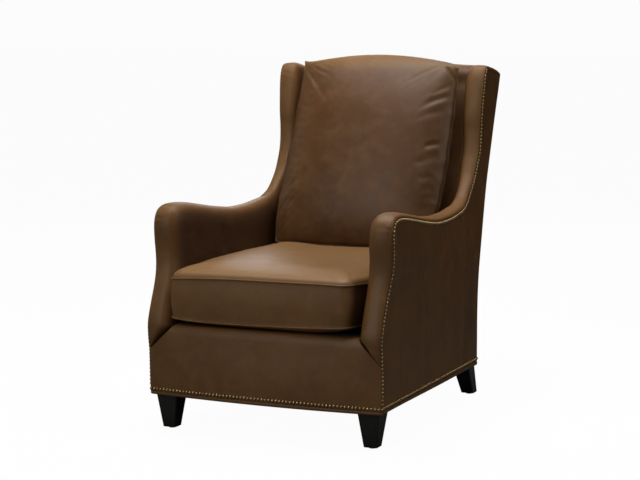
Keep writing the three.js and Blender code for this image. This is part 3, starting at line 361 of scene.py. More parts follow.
def sight(u, v):
    """Direction from the camera through pixel u, v of the 640 x 480 image."""
    sin_t, cos_t, sin_d, cos_d = np.sin(CAMERA_TURN), np.cos(CAMERA_TURN), np.sin(CAMERA_DIP), np.cos(CAMERA_DIP)
    ahead = np.array([-sin_t * cos_d, cos_t * cos_d, -sin_d])
    right = np.array([cos_t, sin_t, 0])
    up = np.cross(right, ahead)
    pixels = CAMERA_LENS / SENSOR * IMAGE[0]
    return ahead + right * (u - IMAGE[0] / 2) / pixels + up * (IMAGE[1] / 2 - v) / pixels


def seen(points, quads, pixels):
    """Places on a shape that the camera sees through pixels."""
    tree = BVHTree.FromPolygons(points.tolist(), quads.tolist())
    found = []
    for u, v in pixels:
        hit = tree.ray_cast(Vector(CAMERA_PLACE), Vector(sight(u, v)).normalized())[0]
        if hit is not None:
            found.append(np.array(hit))
    return np.array(found)


def folds_seen(shape, folds):
    """Presses folds into a shape where the camera sees them: (pixels, width, depth, ridge, lap) rows."""
    points, quads = shape
    for pixels, width, depth, ridge, lap in folds:
        path = seen(points, quads, pixels)
        if len(path) > 1:
            path = resampled(spline(path), FOLD_STEP)
            points = fold(points, point_normals(points, quads), path, width, depth, ridge, lap)
    return points, quads


WEAR_AND_SHADE_SPREADS = 5
WEAR_AND_SHADE_GAIN = 14


def wear_and_shade_of(points, quads):
    """How much the surface bulges (above 0) or dips (below 0) at each point: stretch wear on bulges, painted shade in
    dips.
    """
    edges = np.concatenate([quads[:, [0, 1]], quads[:, [1, 2]], quads[:, [2, 3]], quads[:, [3, 0]]])
    a, b = edges[:, 0], edges[:, 1]
    total = np.zeros_like(points)
    size = np.zeros(len(points))
    count = np.zeros(len(points))
    step = points[b] - points[a]
    for i, s in ((a, step), (b, -step)):
        np.add.at(total, i, s)
        np.add.at(size, i, np.linalg.norm(s, axis=1))
        np.add.at(count, i, 1)
    count = np.maximum(count, 1)
    mean = size / count
    bulge = -np.einsum("ij,ij->i", total / count[:, None], point_normals(points, quads))
    bulge = bulge / np.maximum(mean, 0.1) ** 2
    for _ in range(WEAR_AND_SHADE_SPREADS):
        spread = np.zeros(len(points))
        np.add.at(spread, a, bulge[b])
        np.add.at(spread, b, bulge[a])
        bulge = 0.4 * bulge + 0.6 * spread / count
    return np.clip(bulge * WEAR_AND_SHADE_GAIN, -1, 1)


def light_and_shade_by_facing(shape, axis, sign, low, high, reach=(0.3, 0.9)):
    """Painted light and shade of each point: high where the surface faces along an axis, low elsewhere."""
    return mix(low, high, ease(share_of(point_normals(*shape)[:, axis] * sign, *reach)))


def side_light_and_shade(shape, hand, top, front, shade):
    """Painted light and shade of an arm's or wing's cover: painted light where it faces up and forward, painted shade
    on its inner face.
    """
    inward = -1 if hand == "right" else 1
    lit_faces = light_and_shade_by_facing(shape, 2, 1, 0, top) + light_and_shade_by_facing(shape, 1, -1, 0, front)
    return lit_faces - light_and_shade_by_facing(shape, 0, inward, 0, shade, (0.75, 1))


def make_piece(name, shape, material, body="chair", thickness=0.0, replaces=(), tone=0.0):
    """A Blender object from a shape in millimetres, riding on a body of the frame."""
    points, quads = shape
    mesh = bpy.data.meshes.new(name)
    mesh.from_pydata(((points - ORIGIN) / 1000).tolist(), [], quads.tolist())
    # Of the two attributes, tone is painted light above 0 and painted shade below 0; the other is stretch wear on
    # bulges and painted shade in dips.
    for label, values in (("wear", wear_and_shade_of(points, quads)), ("tone", np.broadcast_to(tone, len(points)))):
        layer = mesh.attributes.new(label, "FLOAT", "POINT")
        layer.data.foreach_set("value", values.astype(np.float32))
    mesh.materials.append(material)
    mesh.polygons.foreach_set("use_smooth", [True] * len(mesh.polygons))
    mesh.update()
    piece = bpy.data.objects.new(name, mesh)
    bpy.context.scene.collection.objects.link(piece)
    if thickness:
        wall = piece.modifiers.new("thickness", "SOLIDIFY")
        wall.thickness = thickness / 1000
        wall.offset = -1
    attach(piece, body)
    if replaces:
        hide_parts(*replaces)
    return piece


def cover_piece(name, shape, replaces, tone=0.0, thickness=COVER_THICKNESS):
    """A leather cover that is fixed to the chair."""
    return make_piece(name, shape, leather(), thickness=thickness, replaces=replaces, tone=tone)


def cushion_piece(name, shape, body, tone, replaces=()):
    """A leather cover or welt of the loose cushion or the loose pillow."""
    return make_piece(name, shape, leather("cushion"), body, replaces=replaces, tone=tone)


def closed_plate(face, depth_normals, thickness):
    """A closed plate: a grid of points, and the same grid set back along its normals."""
    back = face - depth_normals * thickness
    rows, columns = face.shape[:2]
    points = np.concatenate([face.reshape(-1, 3), back.reshape(-1, 3)])
    front = grid_quads(rows, columns)
    count = rows * columns
    index = np.arange(count).reshape(rows, columns)
    border = np.concatenate([index[0, :-1], index[:-1, -1], index[-1, :0:-1], index[:0:-1, 0]])
    after = np.roll(border, -1)
    rim = np.stack([after, border, border + count, after + count], 1)
    return points, np.concatenate([front, front[:, ::-1] + count, rim])


def outwards(shape):
    """The same closed shape with its faces turned outwards."""
    points, quads = shape
    a, b, c, d = (points[quads[:, k]] for k in range(4))
    volume = np.einsum("ij,ij->i", a, np.cross(b, c)).sum() + np.einsum("ij,ij->i", a, np.cross(c, d)).sum()
    return (points, quads) if volume > 0 else (points, quads[:, ::-1])


def turned(shape, axis, sign):
    """The same open shape, turned so that its point furthest along an axis faces that way."""
    points, quads = shape
    far = int(np.argmax(points[:, axis] * sign))
    return shape if point_normals(points, quads)[far, axis] * sign > 0 else (points, quads[:, ::-1])


def tube(path, radius, sides=10, tall=1.0):
    """A cord along a closed path, as points and quads; tall is how much higher than wide it is."""
    path = np.asarray(path, float)
    along = np.roll(path, -1, 0) - np.roll(path, 1, 0)
    along /= np.linalg.norm(along, axis=1)[:, None]
    out = np.cross(along, [0, 0, 1.0])
    flat = np.linalg.norm(out, axis=1) < 0.2
    out[flat] = np.cross(along[flat], [1.0, 0, 0])
    out /= np.linalg.norm(out, axis=1)[:, None]
    third = np.cross(out, along)
    turn = np.linspace(0, 2 * np.pi, sides, endpoint=False)[:, None]
    lift = third[:, None] * np.sin(turn) * np.reshape(tall, (-1, 1, 1))
    rings = path[:, None] + radius * (out[:, None] * np.cos(turn) + lift)
    n = len(path)
    r, c = np.meshgrid(np.arange(n), np.arange(sides), indexing="ij")
    after, beside = (r + 1) % n * sides, (c + 1) % sides
    quads = np.stack([r * sides + c, r * sides + beside, after + beside, after + c], -1).reshape(-1, 4)
    return outwards((rings.reshape(-1, 3), quads))


# ---------------------------------------------------------------------------------------------
# Materials
# ---------------------------------------------------------------------------------------------
class Nodes:
    """A material's node tree under construction."""

    def __init__(self, name):
        self.material = bpy.data.materials.get(name) or bpy.data.materials.new(name)
        self.material.use_nodes = True
        self.tree = self.material.node_tree
        self.tree.nodes.clear()
        self.out = self.add("ShaderNodeOutputMaterial")
        self.shader = self.add("ShaderNodeBsdfPrincipled")
        self.tree.links.new(self.shader.outputs[0], self.out.inputs[0])
        self.place = self.add("ShaderNodeTexCoord").outputs["Object"]

    def add(self, kind, **settings):
        node = self.tree.nodes.new(kind)
        for key, value in settings.items():
            setattr(node, key, value)
        return node

    def link(self, source, target):
        self.tree.links.new(source, target)

    def shade(self, **values):
        for key, value in values.items():
            self.shader.inputs[key.replace("_", " ")].default_value = value

    def pattern(self, kind, stretch, **inputs):
        """A texture on the object's own coordinates, stretched along its axes."""
        mapping = self.add("ShaderNodeMapping")
        mapping.inputs["Scale"].default_value = stretch
        self.link(self.place, mapping.inputs["Vector"])
        node = self.add(kind)
        for name, value in inputs.items():
            node.inputs[name].default_value = value
        self.link(mapping.outputs[0], node.inputs["Vector"])
        return node.outputs

    def noise(self, scale, detail=4.0, rough=0.55, stretch=(1, 1, 1), distortion=0.0):
        return self.pattern("ShaderNodeTexNoise", stretch, Scale=scale, Detail=detail, Roughness=rough,
                            Distortion=distortion)["Fac"]

    def cells(self, scale, stretch=(1, 1, 1)):
        return self.pattern("ShaderNodeTexVoronoi", stretch, Scale=scale)["Distance"]

    def ramp(self, source, *stops):
        node = self.add("ShaderNodeValToRGB")
        ramp = node.color_ramp
        while len(ramp.elements) > len(stops):
            ramp.elements.remove(ramp.elements[-1])
        while len(ramp.elements) < len(stops):
            ramp.elements.new(0.5)
        for element, (place, colour) in zip(ramp.elements, stops):
            element.position = place
            element.color = (*colour, 1) if hasattr(colour, "__len__") else (colour, colour, colour, 1)
        self.link(source, node.inputs[0])
        return node.outputs["Color"]

    def blend(self, share, a, b, kind="MIX"):
        node = self.add("ShaderNodeMix", data_type="RGBA", blend_type=kind)
        for value, socket in ((share, node.inputs[0]), (a, node.inputs[6]), (b, node.inputs[7])):
            if isinstance(value, bpy.types.NodeSocket):
                self.link(value, socket)
            elif hasattr(value, "__len__"):
                socket.default_value = (*value, 1)
            else:
                socket.default_value = value
        return node.outputs[2]

    def range(self, source, low, high, to_low, to_high):
        node = self.add("ShaderNodeMapRange")
        self.link(source, node.inputs[0])
        for socket, value in zip(node.inputs[1:5], (low, high, to_low, to_high)):
            socket.default_value = value
        return node.outputs[0]

    def attribute(self, name):
        return self.add("ShaderNodeAttribute", attribute_name=name).outputs["Fac"]

    def coat(self, colour, source, low, high):
        """The surface's colour, and its roughness, which follows a pattern from low to high."""
        self.link(colour, self.shader.inputs["Base Color"])
        self.link(self.range(source, 0.3, 0.7, low, high), self.shader.inputs["Roughness"])

    def bump(self, *layers):
        """Bump from (height, strength, distance in metres) layers, coarse to fine."""
        last = None
        for height, strength, distance in layers:
            node = self.add("ShaderNodeBump")
            node.inputs["Strength"].default_value = strength
            node.inputs["Distance"].default_value = distance
            self.link(height, node.inputs["Height"])
            if last is not None:
                self.link(last, node.inputs["Normal"])
            last = node.outputs[0]
        self.link(last, self.shader.inputs["Normal"])


def leather_material(name, base, light, dark, gloss):
    """Waxed leather: quiet clouds of brown, lighter where it is stretched, painted shade in folds, painted light and
    shade from the tone attribute, with a fine pebble.
    """
    n = Nodes(name)
    clouds = n.noise(3.2, 4, 0.55, distortion=0.4)
    marks = n.noise(17, 5, 0.62, distortion=0.4)
    scuffs = n.noise(7, 7, 0.7, stretch=(1, 1.5, 0.75), distortion=1.0)
    colour = n.ramp(clouds, (0.3, mix_colour(base, dark, 0.3)), (0.5, base), (0.72, mix_colour(base, light, 0.42)))
    ruddy = n.noise(5.5, 3, 0.5, distortion=0.6)
    colour = n.blend(n.range(ruddy, 0.42, 0.7, 0.0, 0.6), colour, (base[0] * 1.12, base[1] * 0.86, base[2] * 0.8))
    colour = n.blend(n.range(marks, 0.45, 0.75, 0.0, 0.36), colour, light)
    colour = n.blend(n.range(scuffs, 0.5, 0.75, 0.0, 0.42), colour, dark)
    # Painted light and shade: a positive tone lightens faces turned to the lamps, a negative tone darkens shaded faces.
    tone = n.attribute("tone")
    colour = n.blend(n.range(tone, 0, 1, 0, 1), colour, light)
    colour = n.blend(n.range(tone, 0, -1, 0, 1), colour, dark)
    # Lighter on bulges where the leather is stretched and worn; darker in dips and folds, which is painted shade.
    wear = n.attribute("wear")
    colour = n.blend(n.range(wear, 0.04, 0.9, 0.0, 0.6), colour, light)
    colour = n.blend(n.range(wear, -0.03, -0.6, 0.0, 0.75), colour, dark)
    n.coat(colour, marks, gloss - 0.06, gloss + 0.06)
    n.shade(Specular_IOR_Level=0.22)
    pebble = n.cells(560, stretch=(1, 1, 1.15))
    crease = n.noise(70, 6, 0.7, distortion=0.8)
    n.bump((crease, 0.12, 0.003), (pebble, 0.16, 0.0007))
    return n.material


def colour_of(name):
    return tuple(getattr(bpy.context.scene.armchair_colours, name))[:3]


def leather(kind="cover"):
    names = {
        "cover": ("cover leather", "cover_base", "cover_light", "cover_dark", 0.48),
        "cushion": ("cushion leather", "cushion_base", "cushion_light", "cushion_dark", 0.42),
    }[kind]
    found = bpy.data.materials.get(names[0])
    if found:
        return found
    return leather_material(names[0], *(colour_of(n) for n in names[1:4]), names[4])


def timber_material(name, light, dark, rough, grain):
    """Wood with grain along the piece and fine pores."""
    n = Nodes(name)
    rings = n.noise(16, 6, 0.6, stretch=grain, distortion=1.5)
    pores = n.noise(150, 3, 0.6, stretch=grain)
    colour = n.ramp(rings, (0.3, dark), (0.7, light))
    colour = n.blend(n.range(pores, 0.5, 0.75, 0.0, 0.4), colour, dark)
    n.coat(colour, pores, rough - 0.05, rough + 0.08)
    n.bump((pores, 0.12, 0.0005))
    return n.material


def metal_material(name, colour, dark, rough):
    """Metal with dull patches and fine scratches."""
    n = Nodes(name)
    patches = n.noise(180, 4, 0.6)
    n.coat(n.ramp(patches, (0.3, dark), (0.65, colour)), patches, rough + 0.12, rough - 0.06)
    n.shade(Metallic=1.0)
    n.bump((n.noise(900, 2, 0.5), 0.08, 0.0003))
    return n.material


def cloth_material(name, colour, thread, scale):
    """Plain weave: two crossed sets of threads."""
    n = Nodes(name)
    waves = []
    for direction in ("X", "Y"):
        wave = n.add("ShaderNodeTexWave", wave_type="BANDS", bands_direction=direction)
        wave.inputs["Scale"].default_value = scale
        wave.inputs["Distortion"].default_value = 1.0
        wave.inputs["Detail Scale"].default_value = 3.0
        n.link(n.place, wave.inputs["Vector"])
        waves.append(wave.outputs["Fac"])
    weave = n.blend(0.5, waves[0], waves[1])
    n.coat(n.ramp(weave, (0.2, colour), (0.9, thread)), n.noise(60), 0.85, 0.98)
    n.shade(Sheen_Weight=0.05, Specular_IOR_Level=0.2)
    n.bump((weave, 0.35, 0.0006))
    return n.material


def scaled(colour, share):
    return tuple(c * share for c in colour)


def moulded_material(name, colour):
    """Moulded plastic with a fine speckle."""
    n = Nodes(name)
    speck = n.noise(700, 3, 0.6)
    n.coat(n.ramp(speck, (0.3, scaled(colour, 0.8)), (0.7, colour)), speck, 0.5, 0.65)
    n.bump((speck, 0.1, 0.0003))
    return n.material


# ---------------------------------------------------------------------------------------------
# Properties
# ---------------------------------------------------------------------------------------------
def length(name, text, value):
    return bpy.props.FloatProperty(name=name, description=text, default=value, min=0, unit="LENGTH", subtype="DISTANCE")


def colour(name, text, value):
    return bpy.props.FloatVectorProperty(
        name=name, description=text, default=value, size=3, min=0, max=1, subtype="COLOR")


class ArmchairSizes(bpy.types.PropertyGroup):
    """Sizes of the trim and of the filling."""

    nail_pitch: length("Nail pitch", "Distance between two nails of a row", 0.0111)
    nail_width: length("Nail width", "Width of a nail's head", 0.0088)
    nail_rise: length("Nail rise", "Height of a nail's head over the leather", 0.0029)
    base_welt: length("Base welt", "Width of the welt round the bottom edge", 0.0056)
    cushion_welt: length("Cushion welt", "Width of the welts of the seat cushion", 0.0052)
    pillow_welt: length("Pillow welt", "Width of the seam round the back pillow", 0.0038)
    cushion_swell: length("Cushion swell", "How far the seat cushion's cover may swell", 0.006)
    pillow_swell: length("Pillow swell", "How far the back pillow's cover may swell", 0.012)


class ArmchairColours(bpy.types.PropertyGroup):
    """Colours of the leather, metal, wood and floor."""

    cover_base: colour("Cover", "Middle brown of the covers", (0.113, 0.052, 0.016))
    # The worn brown also paints light on lit faces, and the dark brown also paints shade in folds and on shaded faces.
    cover_light: colour("Cover, worn", "Brown of stretched and worn leather", (0.225, 0.114, 0.041))
    cover_dark: colour("Cover, dark", "Brown in folds and dark clouds", (0.045, 0.02, 0.0085))
    cushion_base: colour("Cushion", "Middle brown of the cushions", (0.113, 0.053, 0.017))
    # The worn cushion brown also paints light on lit faces, and the dark cushion brown also paints shade in folds and
    # on shaded faces.
    cushion_light: colour("Cushion, worn", "Brown of stretched cushion leather", (0.25, 0.132, 0.052))
    cushion_dark: colour("Cushion, dark", "Brown in the cushions' folds", (0.045, 0.0205, 0.0095))
    brass: colour("Nails", "Colour of the nail heads", (0.62, 0.44, 0.21))
    floor: colour("Floor", "Colour of the floor", (0.86, 0.86, 0.86))


def sizes():
    return bpy.context.scene.armchair_sizes


# ---------------------------------------------------------------------------------------------
# Arm and wing covers
# ---------------------------------------------------------------------------------------------
ROLL_WRAP = [(-0.7, -8.2), (-0.9, -5.5), (-0.9, -3.0)]
ROLL_OUTER_STEPS = 9
ROLL_INNER_STEPS = 13
ARM_TUCK = 58
WING_TUCK = 60
ROLL_CROWN = [
    (-0.62, 8), (-0.5, 11), (-0.36, 14), (-0.2, 15), (0.15, 13.5), (0.35, 13), (0.7, 15), (0.9, 16), (1.1, 16),
    (1.4, 14), (1.62, 12), (1.72, 9.5), (1.8, 8),
]


def slant(z):
    """Where the apron's slanting end crosses height z."""
    return mix(APRON_HALF, INNER_HALF, share_of(z, APRON_SHOULDER, DECK_HEIGHT))


def roll_section(width, crown, squareness, tuck):
    """Points [distance in from the outer face, rise over the edge] over a padded cap."""
    outer = np.linspace(0, np.pi / 2, ROLL_OUTER_STEPS)
    inner_turn = np.linspace(np.pi / 2, 0, ROLL_INNER_STEPS)[1:]
    scale = min(1.0, width / 48)
    peak = width * 0.5
    bend = 2 / squareness
    section = [(a * scale, b * scale) for a, b in ROLL_WRAP]
    low = -1.0 * scale
    for turn in outer:
        section.append((peak - peak * np.cos(turn) ** bend - 0.6 * scale, low + (crown - low) * np.sin(turn) ** bend))
    tuck = tuck * scale
    for turn in inner_turn:
        section.append((width - (width - peak) * (1 - np.cos(turn)), -tuck + (crown + tuck) * np.sin(turn)))
    return section


def roll_tuck(i):
    """How far the inner side of the cap reaches from the edge before it lies flat."""
    place = (i - ARM_CORNER) / (ARM_END - ARM_CORNER)
    return mix(ARM_TUCK, WING_TUCK, ease(share_of(place, 0.85, 1.15)))


DEEP_LINE = softened(EDGE - EDGE_NORMAL * roll_tuck(np.arange(len(EDGE)))[:, None], 110)


def roll_rows(first, last, start_dip=0.0, end_dip=0.0):
    """The padded cap along the panel's edge: a row of points across it at each station."""
    rows = []
    for i in range(first, last + 1):
        y, z = EDGE[i]
        ny, nz = EDGE_NORMAL[i]
        out = float(side(y, z))
        face = float(lining(z)) if z >= DECK_HEIGHT or i > ARM_CORNER else float(slant(z))
        width = max(3.0, out - face)
        place = (i - ARM_CORNER) / (ARM_END - ARM_CORNER)
        crown = float(np.interp(place, *zip(*ROLL_CROWN)))
        crown *= min(1.0, width / 40)
        square = float(np.interp(width, [48, 76], [2.1, 2.7]))
        near_start = np.exp(-(((i - first) * STEP / 5) ** 2)) * start_dip
        near_end = np.exp(-(((last - i) * STEP / 5) ** 2)) * end_dip
        dip = near_start + near_end
        row = []
        tuck = float(roll_tuck(i))
        deep_y, deep_z = (EDGE[i] - DEEP_LINE[i]) / tuck
        for inset, rise in roll_section(width, crown, square, tuck):
            rise -= dip * (rise > -9)
            inside = rise < 0 and inset > width / 2
            row.append((out - inset, y + (deep_y if inside else ny) * rise, z + (deep_z if inside else nz) * rise))
        if abs(face - float(lining(z))) < 0.5:
            row[-1] = (float(lining(row[-1][2])), *row[-1][1:])
        rows.append(row)
    return np.array(rows)


def flat_patch(left, right, low, high):
    """An inside face: filled in depth and height, and set on the inner surface."""
    grid = patch(left, right, low, high)
    return np.concatenate([lining(grid[..., 1])[..., None], grid], -1)


def arm_shape():
    """Roll and inside face of the right arm in one piece of leather."""
    first = int(np.argmax(EDGE[:, 1] > APRON_SHOULDER + 1))
    roll = roll_rows(first, ARM_END, 0.0, 1.2)
    edge = roll[:, -1, 1:]
    rise = int(np.argmax(edge[:, 1] > DECK_HEIGHT - 8))
    corner = ARM_CORNER - first
    left = edge[rise:corner + 1]
    high = edge[corner:]
    back_low = np.array([BACKREST_DEPTH, left[0, 1]])
    right = line_between(back_low, high[-1] + [float(backrest(high[-1, 1])) - high[-1, 0], 0], len(left))
    reach = resampled(np.stack([high[-1], right[-1]]), STEP)[1:]
    high = np.concatenate([high, reach])
    low = line_between(left[0], back_low, len(high))
    inside = flat_patch(left, right, low, high)
    return turned(joined([roll, inside]), 2, 1)


def wing_shape():
    """Roll and inside face of the right wing."""
    roll = roll_rows(ARM_END, len(EDGE) - 1, 1.2, 0.0)
    edge = roll[:, -1, 1:]
    corner = WING_CORNER - ARM_END
    left = edge[:corner + 1]
    high = edge[corner:]
    back = np.stack([backrest(left[:, 1]) + 34, left[:, 1]], 1)
    back[-1] = [max(back[-1, 0], high[-1, 0]), left[-1, 1]]
    right = softened(back, 8)
    right[-1] = high[-1]
    low = line_between(left[0], right[0], len(high))
    inside = flat_patch(left, right, low, high)
    return turned(joined([roll, inside]), 2, 1)


ARM_FOLDS = {
    "right": [
        ([(383.2, 214.9), (390.6, 215.7), (397.3, 219.9)], 3.2, 3.4, 0.6, 0.7),
        ([(379.9, 228.6), (386, 229.4), (391.5, 231)], 3.0, 2.6, 0.6, 0.6),
    ],
    "left": [
        ([(153.5, 217.9), (157, 218), (160, 218.4)], 3.2, 3.2, 0.6, 0.6),
        ([(164, 206), (167, 206.2), (170, 206)], 3.0, 2.4, 0.6, 0.4),
        ([(199, 228), (199.5, 240), (199, 254)], 26, 3.0, 0.6, 0.0),
        ([(216, 205), (222, 222), (224, 234), (224, 254)], 24, 3.4, 0.6, 0.0),
    ],
}
WING_FOLDS = {
    "right": [([(491, 71.7), (496, 73.2), (500, 75.5)], 2.6, 2.2, 0.4, 0.5)],
    "left": [([(281.6, 71.5), (287, 73), (295, 76.5)], 3.2, 1.7, 0.4, 0.4)],
}


def side_shape(shape, hand):
    return shape if hand == "right" else mirrored(*shape)


def side_covers(part, build, folds, light_and_shade):
    """Padded covers of both arms or both wings, with their folds and their painted light and shade."""
    for hand in ("left", "right"):
        shape = folds_seen(side_shape(build(), hand), folds[hand])
        cover = cover_piece(
            f"{part}_cover_{hand}", shape, (f"{part}_roll_{hand}", f"inside_{part}_pad_{hand}"),
            side_light_and_shade(shape, hand, *light_and_shade))
    return {"FINISHED"}


class ARMCHAIR_OT_arm_covers(bpy.types.Operator):
    """Leather over the rolls and the inside of both arms"""

    bl_idname = "armchair.arm_covers"
    bl_label = "Arm covers"

    def execute(self, context):
        # Painted light and shade: arm tops painted lighter (0.5), fronts a little (0.15), inner faces painted darker
        # (0.95).
        return side_covers("arm", arm_shape, ARM_FOLDS, (0.5, 0.15, 0.95))


class ARMCHAIR_OT_wing_covers(bpy.types.Operator):
    """Leather over the rolls and the inside of both wings"""

    bl_idname = "armchair.wing_covers"
    bl_label = "Wing covers"

    def execute(self, context):
        # Painted light and shade: wing tops painted lighter (0.4), fronts lighter (0.45), inner faces painted darker
        # (0.85).
        return side_covers("wing", wing_shape, WING_FOLDS, (0.4, 0.45, 0.85))


# ---------------------------------------------------------------------------------------------
# Outside panels, apron, back and crest
# ---------------------------------------------------------------------------------------------
TUCK_WIDTH = 3.0
TUCK_DEPTH = 1.6
PANEL_GAP = 0.3
BACK_ROWS = 120
BACK_COLUMNS = 84


def tucked(grid):
    """How far a panel's skin turns in near its borders."""
    rows, columns = grid.shape[:2]
    flat = grid.reshape(-1, 3)
    border = np.concatenate([grid[0], grid[:, -1], grid[-1, ::-1], grid[::-1, 0]])
    gap, _, _ = line_distance(flat, border[::3])
    return (TUCK_DEPTH * (1 - ease(share_of(gap, 0, TUCK_WIDTH)))).reshape(rows, columns)


def on_side(grid):
    """Depth and height places set on the outer face of a side."""
    x = side(grid[..., 0], grid[..., 1])
    return np.concatenate([x[..., None], grid], -1)


def outside_arm_grid():
    end = SEAM_Y - PANEL_GAP
    left = EDGE[:ARM_CORNER + 1]
    high = np.concatenate([EDGE[ARM_CORNER:ARM_END], [[end, SEAM_Z]]])
    right = line_between([end, LEG_HEIGHT], [end, SEAM_Z], len(left))
    low = line_between(left[0], [end, LEG_HEIGHT], len(high))
    return on_side(patch(left, right, low, high))


def outside_wing_grid():
    start = SEAM_Y + PANEL_GAP
    upright = line_between([start, LEG_HEIGHT], [start, SEAM_Z], 80)[:-1]
    left = np.concatenate([upright, EDGE[ARM_END:]])
    rows = []
    levels = np.concatenate([upright[:, 1], mix(SEAM_Z, EDGE[-1, 1], np.linspace(0, 1, len(left) - len(upright)))])
    for (y, z), level in zip(left, levels):
        rows.append(line_between([y, z], [float(rear(level)) - 1.5, level], 34))
    return on_side(np.array(rows))


def soft_wave(grid, folds):
    """Long shallow folds: (depth place, low, high, width, height) rows on a side panel."""
    lift = np.zeros(grid.shape[:2])
    for y0, low, high, lean, width, height in folds:
        z = grid[..., 2]
        across = (grid[..., 1] - y0 - lean * (z - low)) / width
        fade = ease(share_of(z, low, low + 90)) * ease(share_of(high - z, 0, 90))
        lift = lift + height * np.exp(-across * across) * fade
    return lift


ARM_PANEL_FOLDS = [
    (300, 150, 600, 0.02, 26, 1.5), (345, 140, 560, -0.03, 20, -1.4), (520, 130, 600, 0.03, 30, 1.6),
    (585, 150, 590, -0.02, 22, -1.5), (150, 150, 500, 0.05, 34, 1.0), (640, 130, 590, 0.0, 26, 1.3),
]
WING_PANEL_FOLDS = [(760, 130, 600, 0.03, 26, 1.4), (830, 200, 900, 0.1, 30, -1.2)]


def panel_piece(name, grid, folds, hand, replaces, tone):
    grid = grid.copy()
    grid[..., 0] += soft_wave(grid, folds) - tucked(grid)
    sign = 1 if hand == "right" else -1
    grid[..., 0] *= sign
    set_back = np.zeros_like(grid)
    set_back[..., 0] = sign
    shape = outwards(closed_plate(grid, set_back, PANEL - 0.6))
    return cover_piece(name, shape, replaces, tone, thickness=0.0)


class ARMCHAIR_OT_outside_panels(bpy.types.Operator):
    """Leather on the outside of the arms and wings"""

    bl_idname = "armchair.outside_panels"
    bl_label = "Outside panels"

    def execute(self, context):
        for hand in ("left", "right"):
            # Painted light: the outside arm panels are painted a little lighter (tone 0.1); the wing panels keep the
            # plain brown.
            for part, grid, folds, tone in (
                ("arm", outside_arm_grid(), ARM_PANEL_FOLDS, 0.1), ("wing", outside_wing_grid(), WING_PANEL_FOLDS, 0.0),
            ):
                panel_piece(f"outside_{part}_{hand}", grid, folds, hand, [f"outside_{part}_panel_{hand}"], tone)
        return {"FINISHED"}


APRON_FACE = [(-2, 0), (-4.2, 0.35), (-4.9, 0.6), (-3.2, 0.85), (0.5, 0.94), (6, 0.985), (16, 0.997), (44, 1)]


def apron_shape():
    """Front band under the cushion, wrapped round the corners to the nails and cut off at a slant."""
    profile = np.array([(y, mix(LEG_HEIGHT, DECK_HEIGHT, z)) for y, z in APRON_FACE])
    profile = resampled(spline(profile), 4.2)
    rows = []
    for y, z in profile:
        half = float(slant(z)) + 0.6
        wrap = 1 - ease(share_of(z, APRON_SHOULDER - 12, APRON_SHOULDER + 8))
        middle = np.linspace(-1, 1, 150)
        row = [(half * s, y, z) for s in middle]
        turn = []
        for inset, back in ((1.6, 0.5), (0.5, 1.7), (0.0, 3.4), (-0.1, 7.5)):
            turn.append((half - inset + 0.6 * wrap, y + back, z))
        row[-1] = (half - 3.0, y, z)
        row[0] = (-half + 3.0, y, z)
        left = [(-x, yy, zz) for x, yy, zz in reversed(turn)]
        rows.append(left + row + turn)
    grid = np.array(rows)
    x, y, z = grid[..., 0], grid[..., 1], grid[..., 2]
    waves = 0.9 * np.sin(x / 47 + 1.3) * np.sin(z / 60) + 0.6 * np.sin(x / 21 + z / 35)
    grid[..., 1] -= np.where(y < 2, waves * 0.6, 0) + front_bow(x, z)
    return grid


class ARMCHAIR_OT_apron(bpy.types.Operator):
    """Padded leather band across the front, under the seat cushion"""

    bl_idname = "armchair.apron"
    bl_label = "Apron"

    def execute(self, context):
        shape = turned(joined([apron_shape()]), 1, -1)
        # Painted light: the apron is painted lighter all over (tone 0.25).
        cover = cover_piece("apron_cover", shape, ["front_apron"], 0.25)
        return {"FINISHED"}


def outside_back_grid():
    """Leather of the outside back, which bulges a little and turns in at its sides."""
    grid = np.zeros((BACK_ROWS, BACK_COLUMNS, 3))
    for r in range(BACK_ROWS):
        for_z = r / (BACK_ROWS - 1)
        spread = np.linspace(-1, 1, BACK_COLUMNS)
        top = crest_top(spread * (INNER_HALF + WING_SPREAD)) - SHOULDER_DROP + 3
        z = mix(LEG_HEIGHT, top, for_z)
        half = side(rear(z) - 4, z)
        x = spread * half
        bulge = 5 * np.maximum(0, 1 - spread**2) * ease(share_of(z, 232, 644))
        turn = half - np.abs(x)
        round_off = 6 * (1 - np.sqrt(np.clip(1 - (1 - share_of(turn, 0, 7)) ** 2, 0, 1)))
        grid[r] = np.stack([x, rear(z) + bulge - round_off, z], 1)
    return grid


def inside_back_grid():
    """Leather from the deck up the backrest and over the crest to the outside back."""
    foot = CREST_FOOT
    half = INNER_HALF + WING_SPREAD + 2.5
    levels = np.linspace(DECK_HEIGHT + 0.5, foot - 24, 40)
    rows = []
    for x in np.linspace(-half, half, 120):
        crown = 6 * (1 - (x / half) ** 2)
        top = float(crest_top(x)) + 5.4
        face = float(rear(top - 31.4))
        front = float(backrest(foot)) - crown
        low = [(float(backrest(z)) - crown, z) for z in levels]
        crest = [
            (front + 0.5, foot), (front + 8, top - 26), (front + 21, top - 10), (front + 40, top - 2), (face - 30, top),
            (face - 13, top - 3.5), (face - 3.2, top - 13), (face + 0.6, top - 27), (face, top - SHOULDER_DROP - 17.4),
        ]
        rows.append((x, spline(low + crest)))
    return np.array([[(x, y, z) for y, z in resampled(line, line_length(line) / 150)] for x, line in rows])


class ARMCHAIR_OT_back(bpy.types.Operator):
    """Leather of the outside back, the crest and the padded face behind the pillow"""

    bl_idname = "armchair.back"
    bl_label = "Back"

    def execute(self, context):
        cover_piece("outside_back", turned(joined([outside_back_grid()]), 1, 1), ["outside_back_panel"])
        cover = cover_piece(
            "inside_back_cover", turned(joined([inside_back_grid()]), 2, 1), ["crest_pad", "inside_back_pad"])
        return {"FINISHED"}


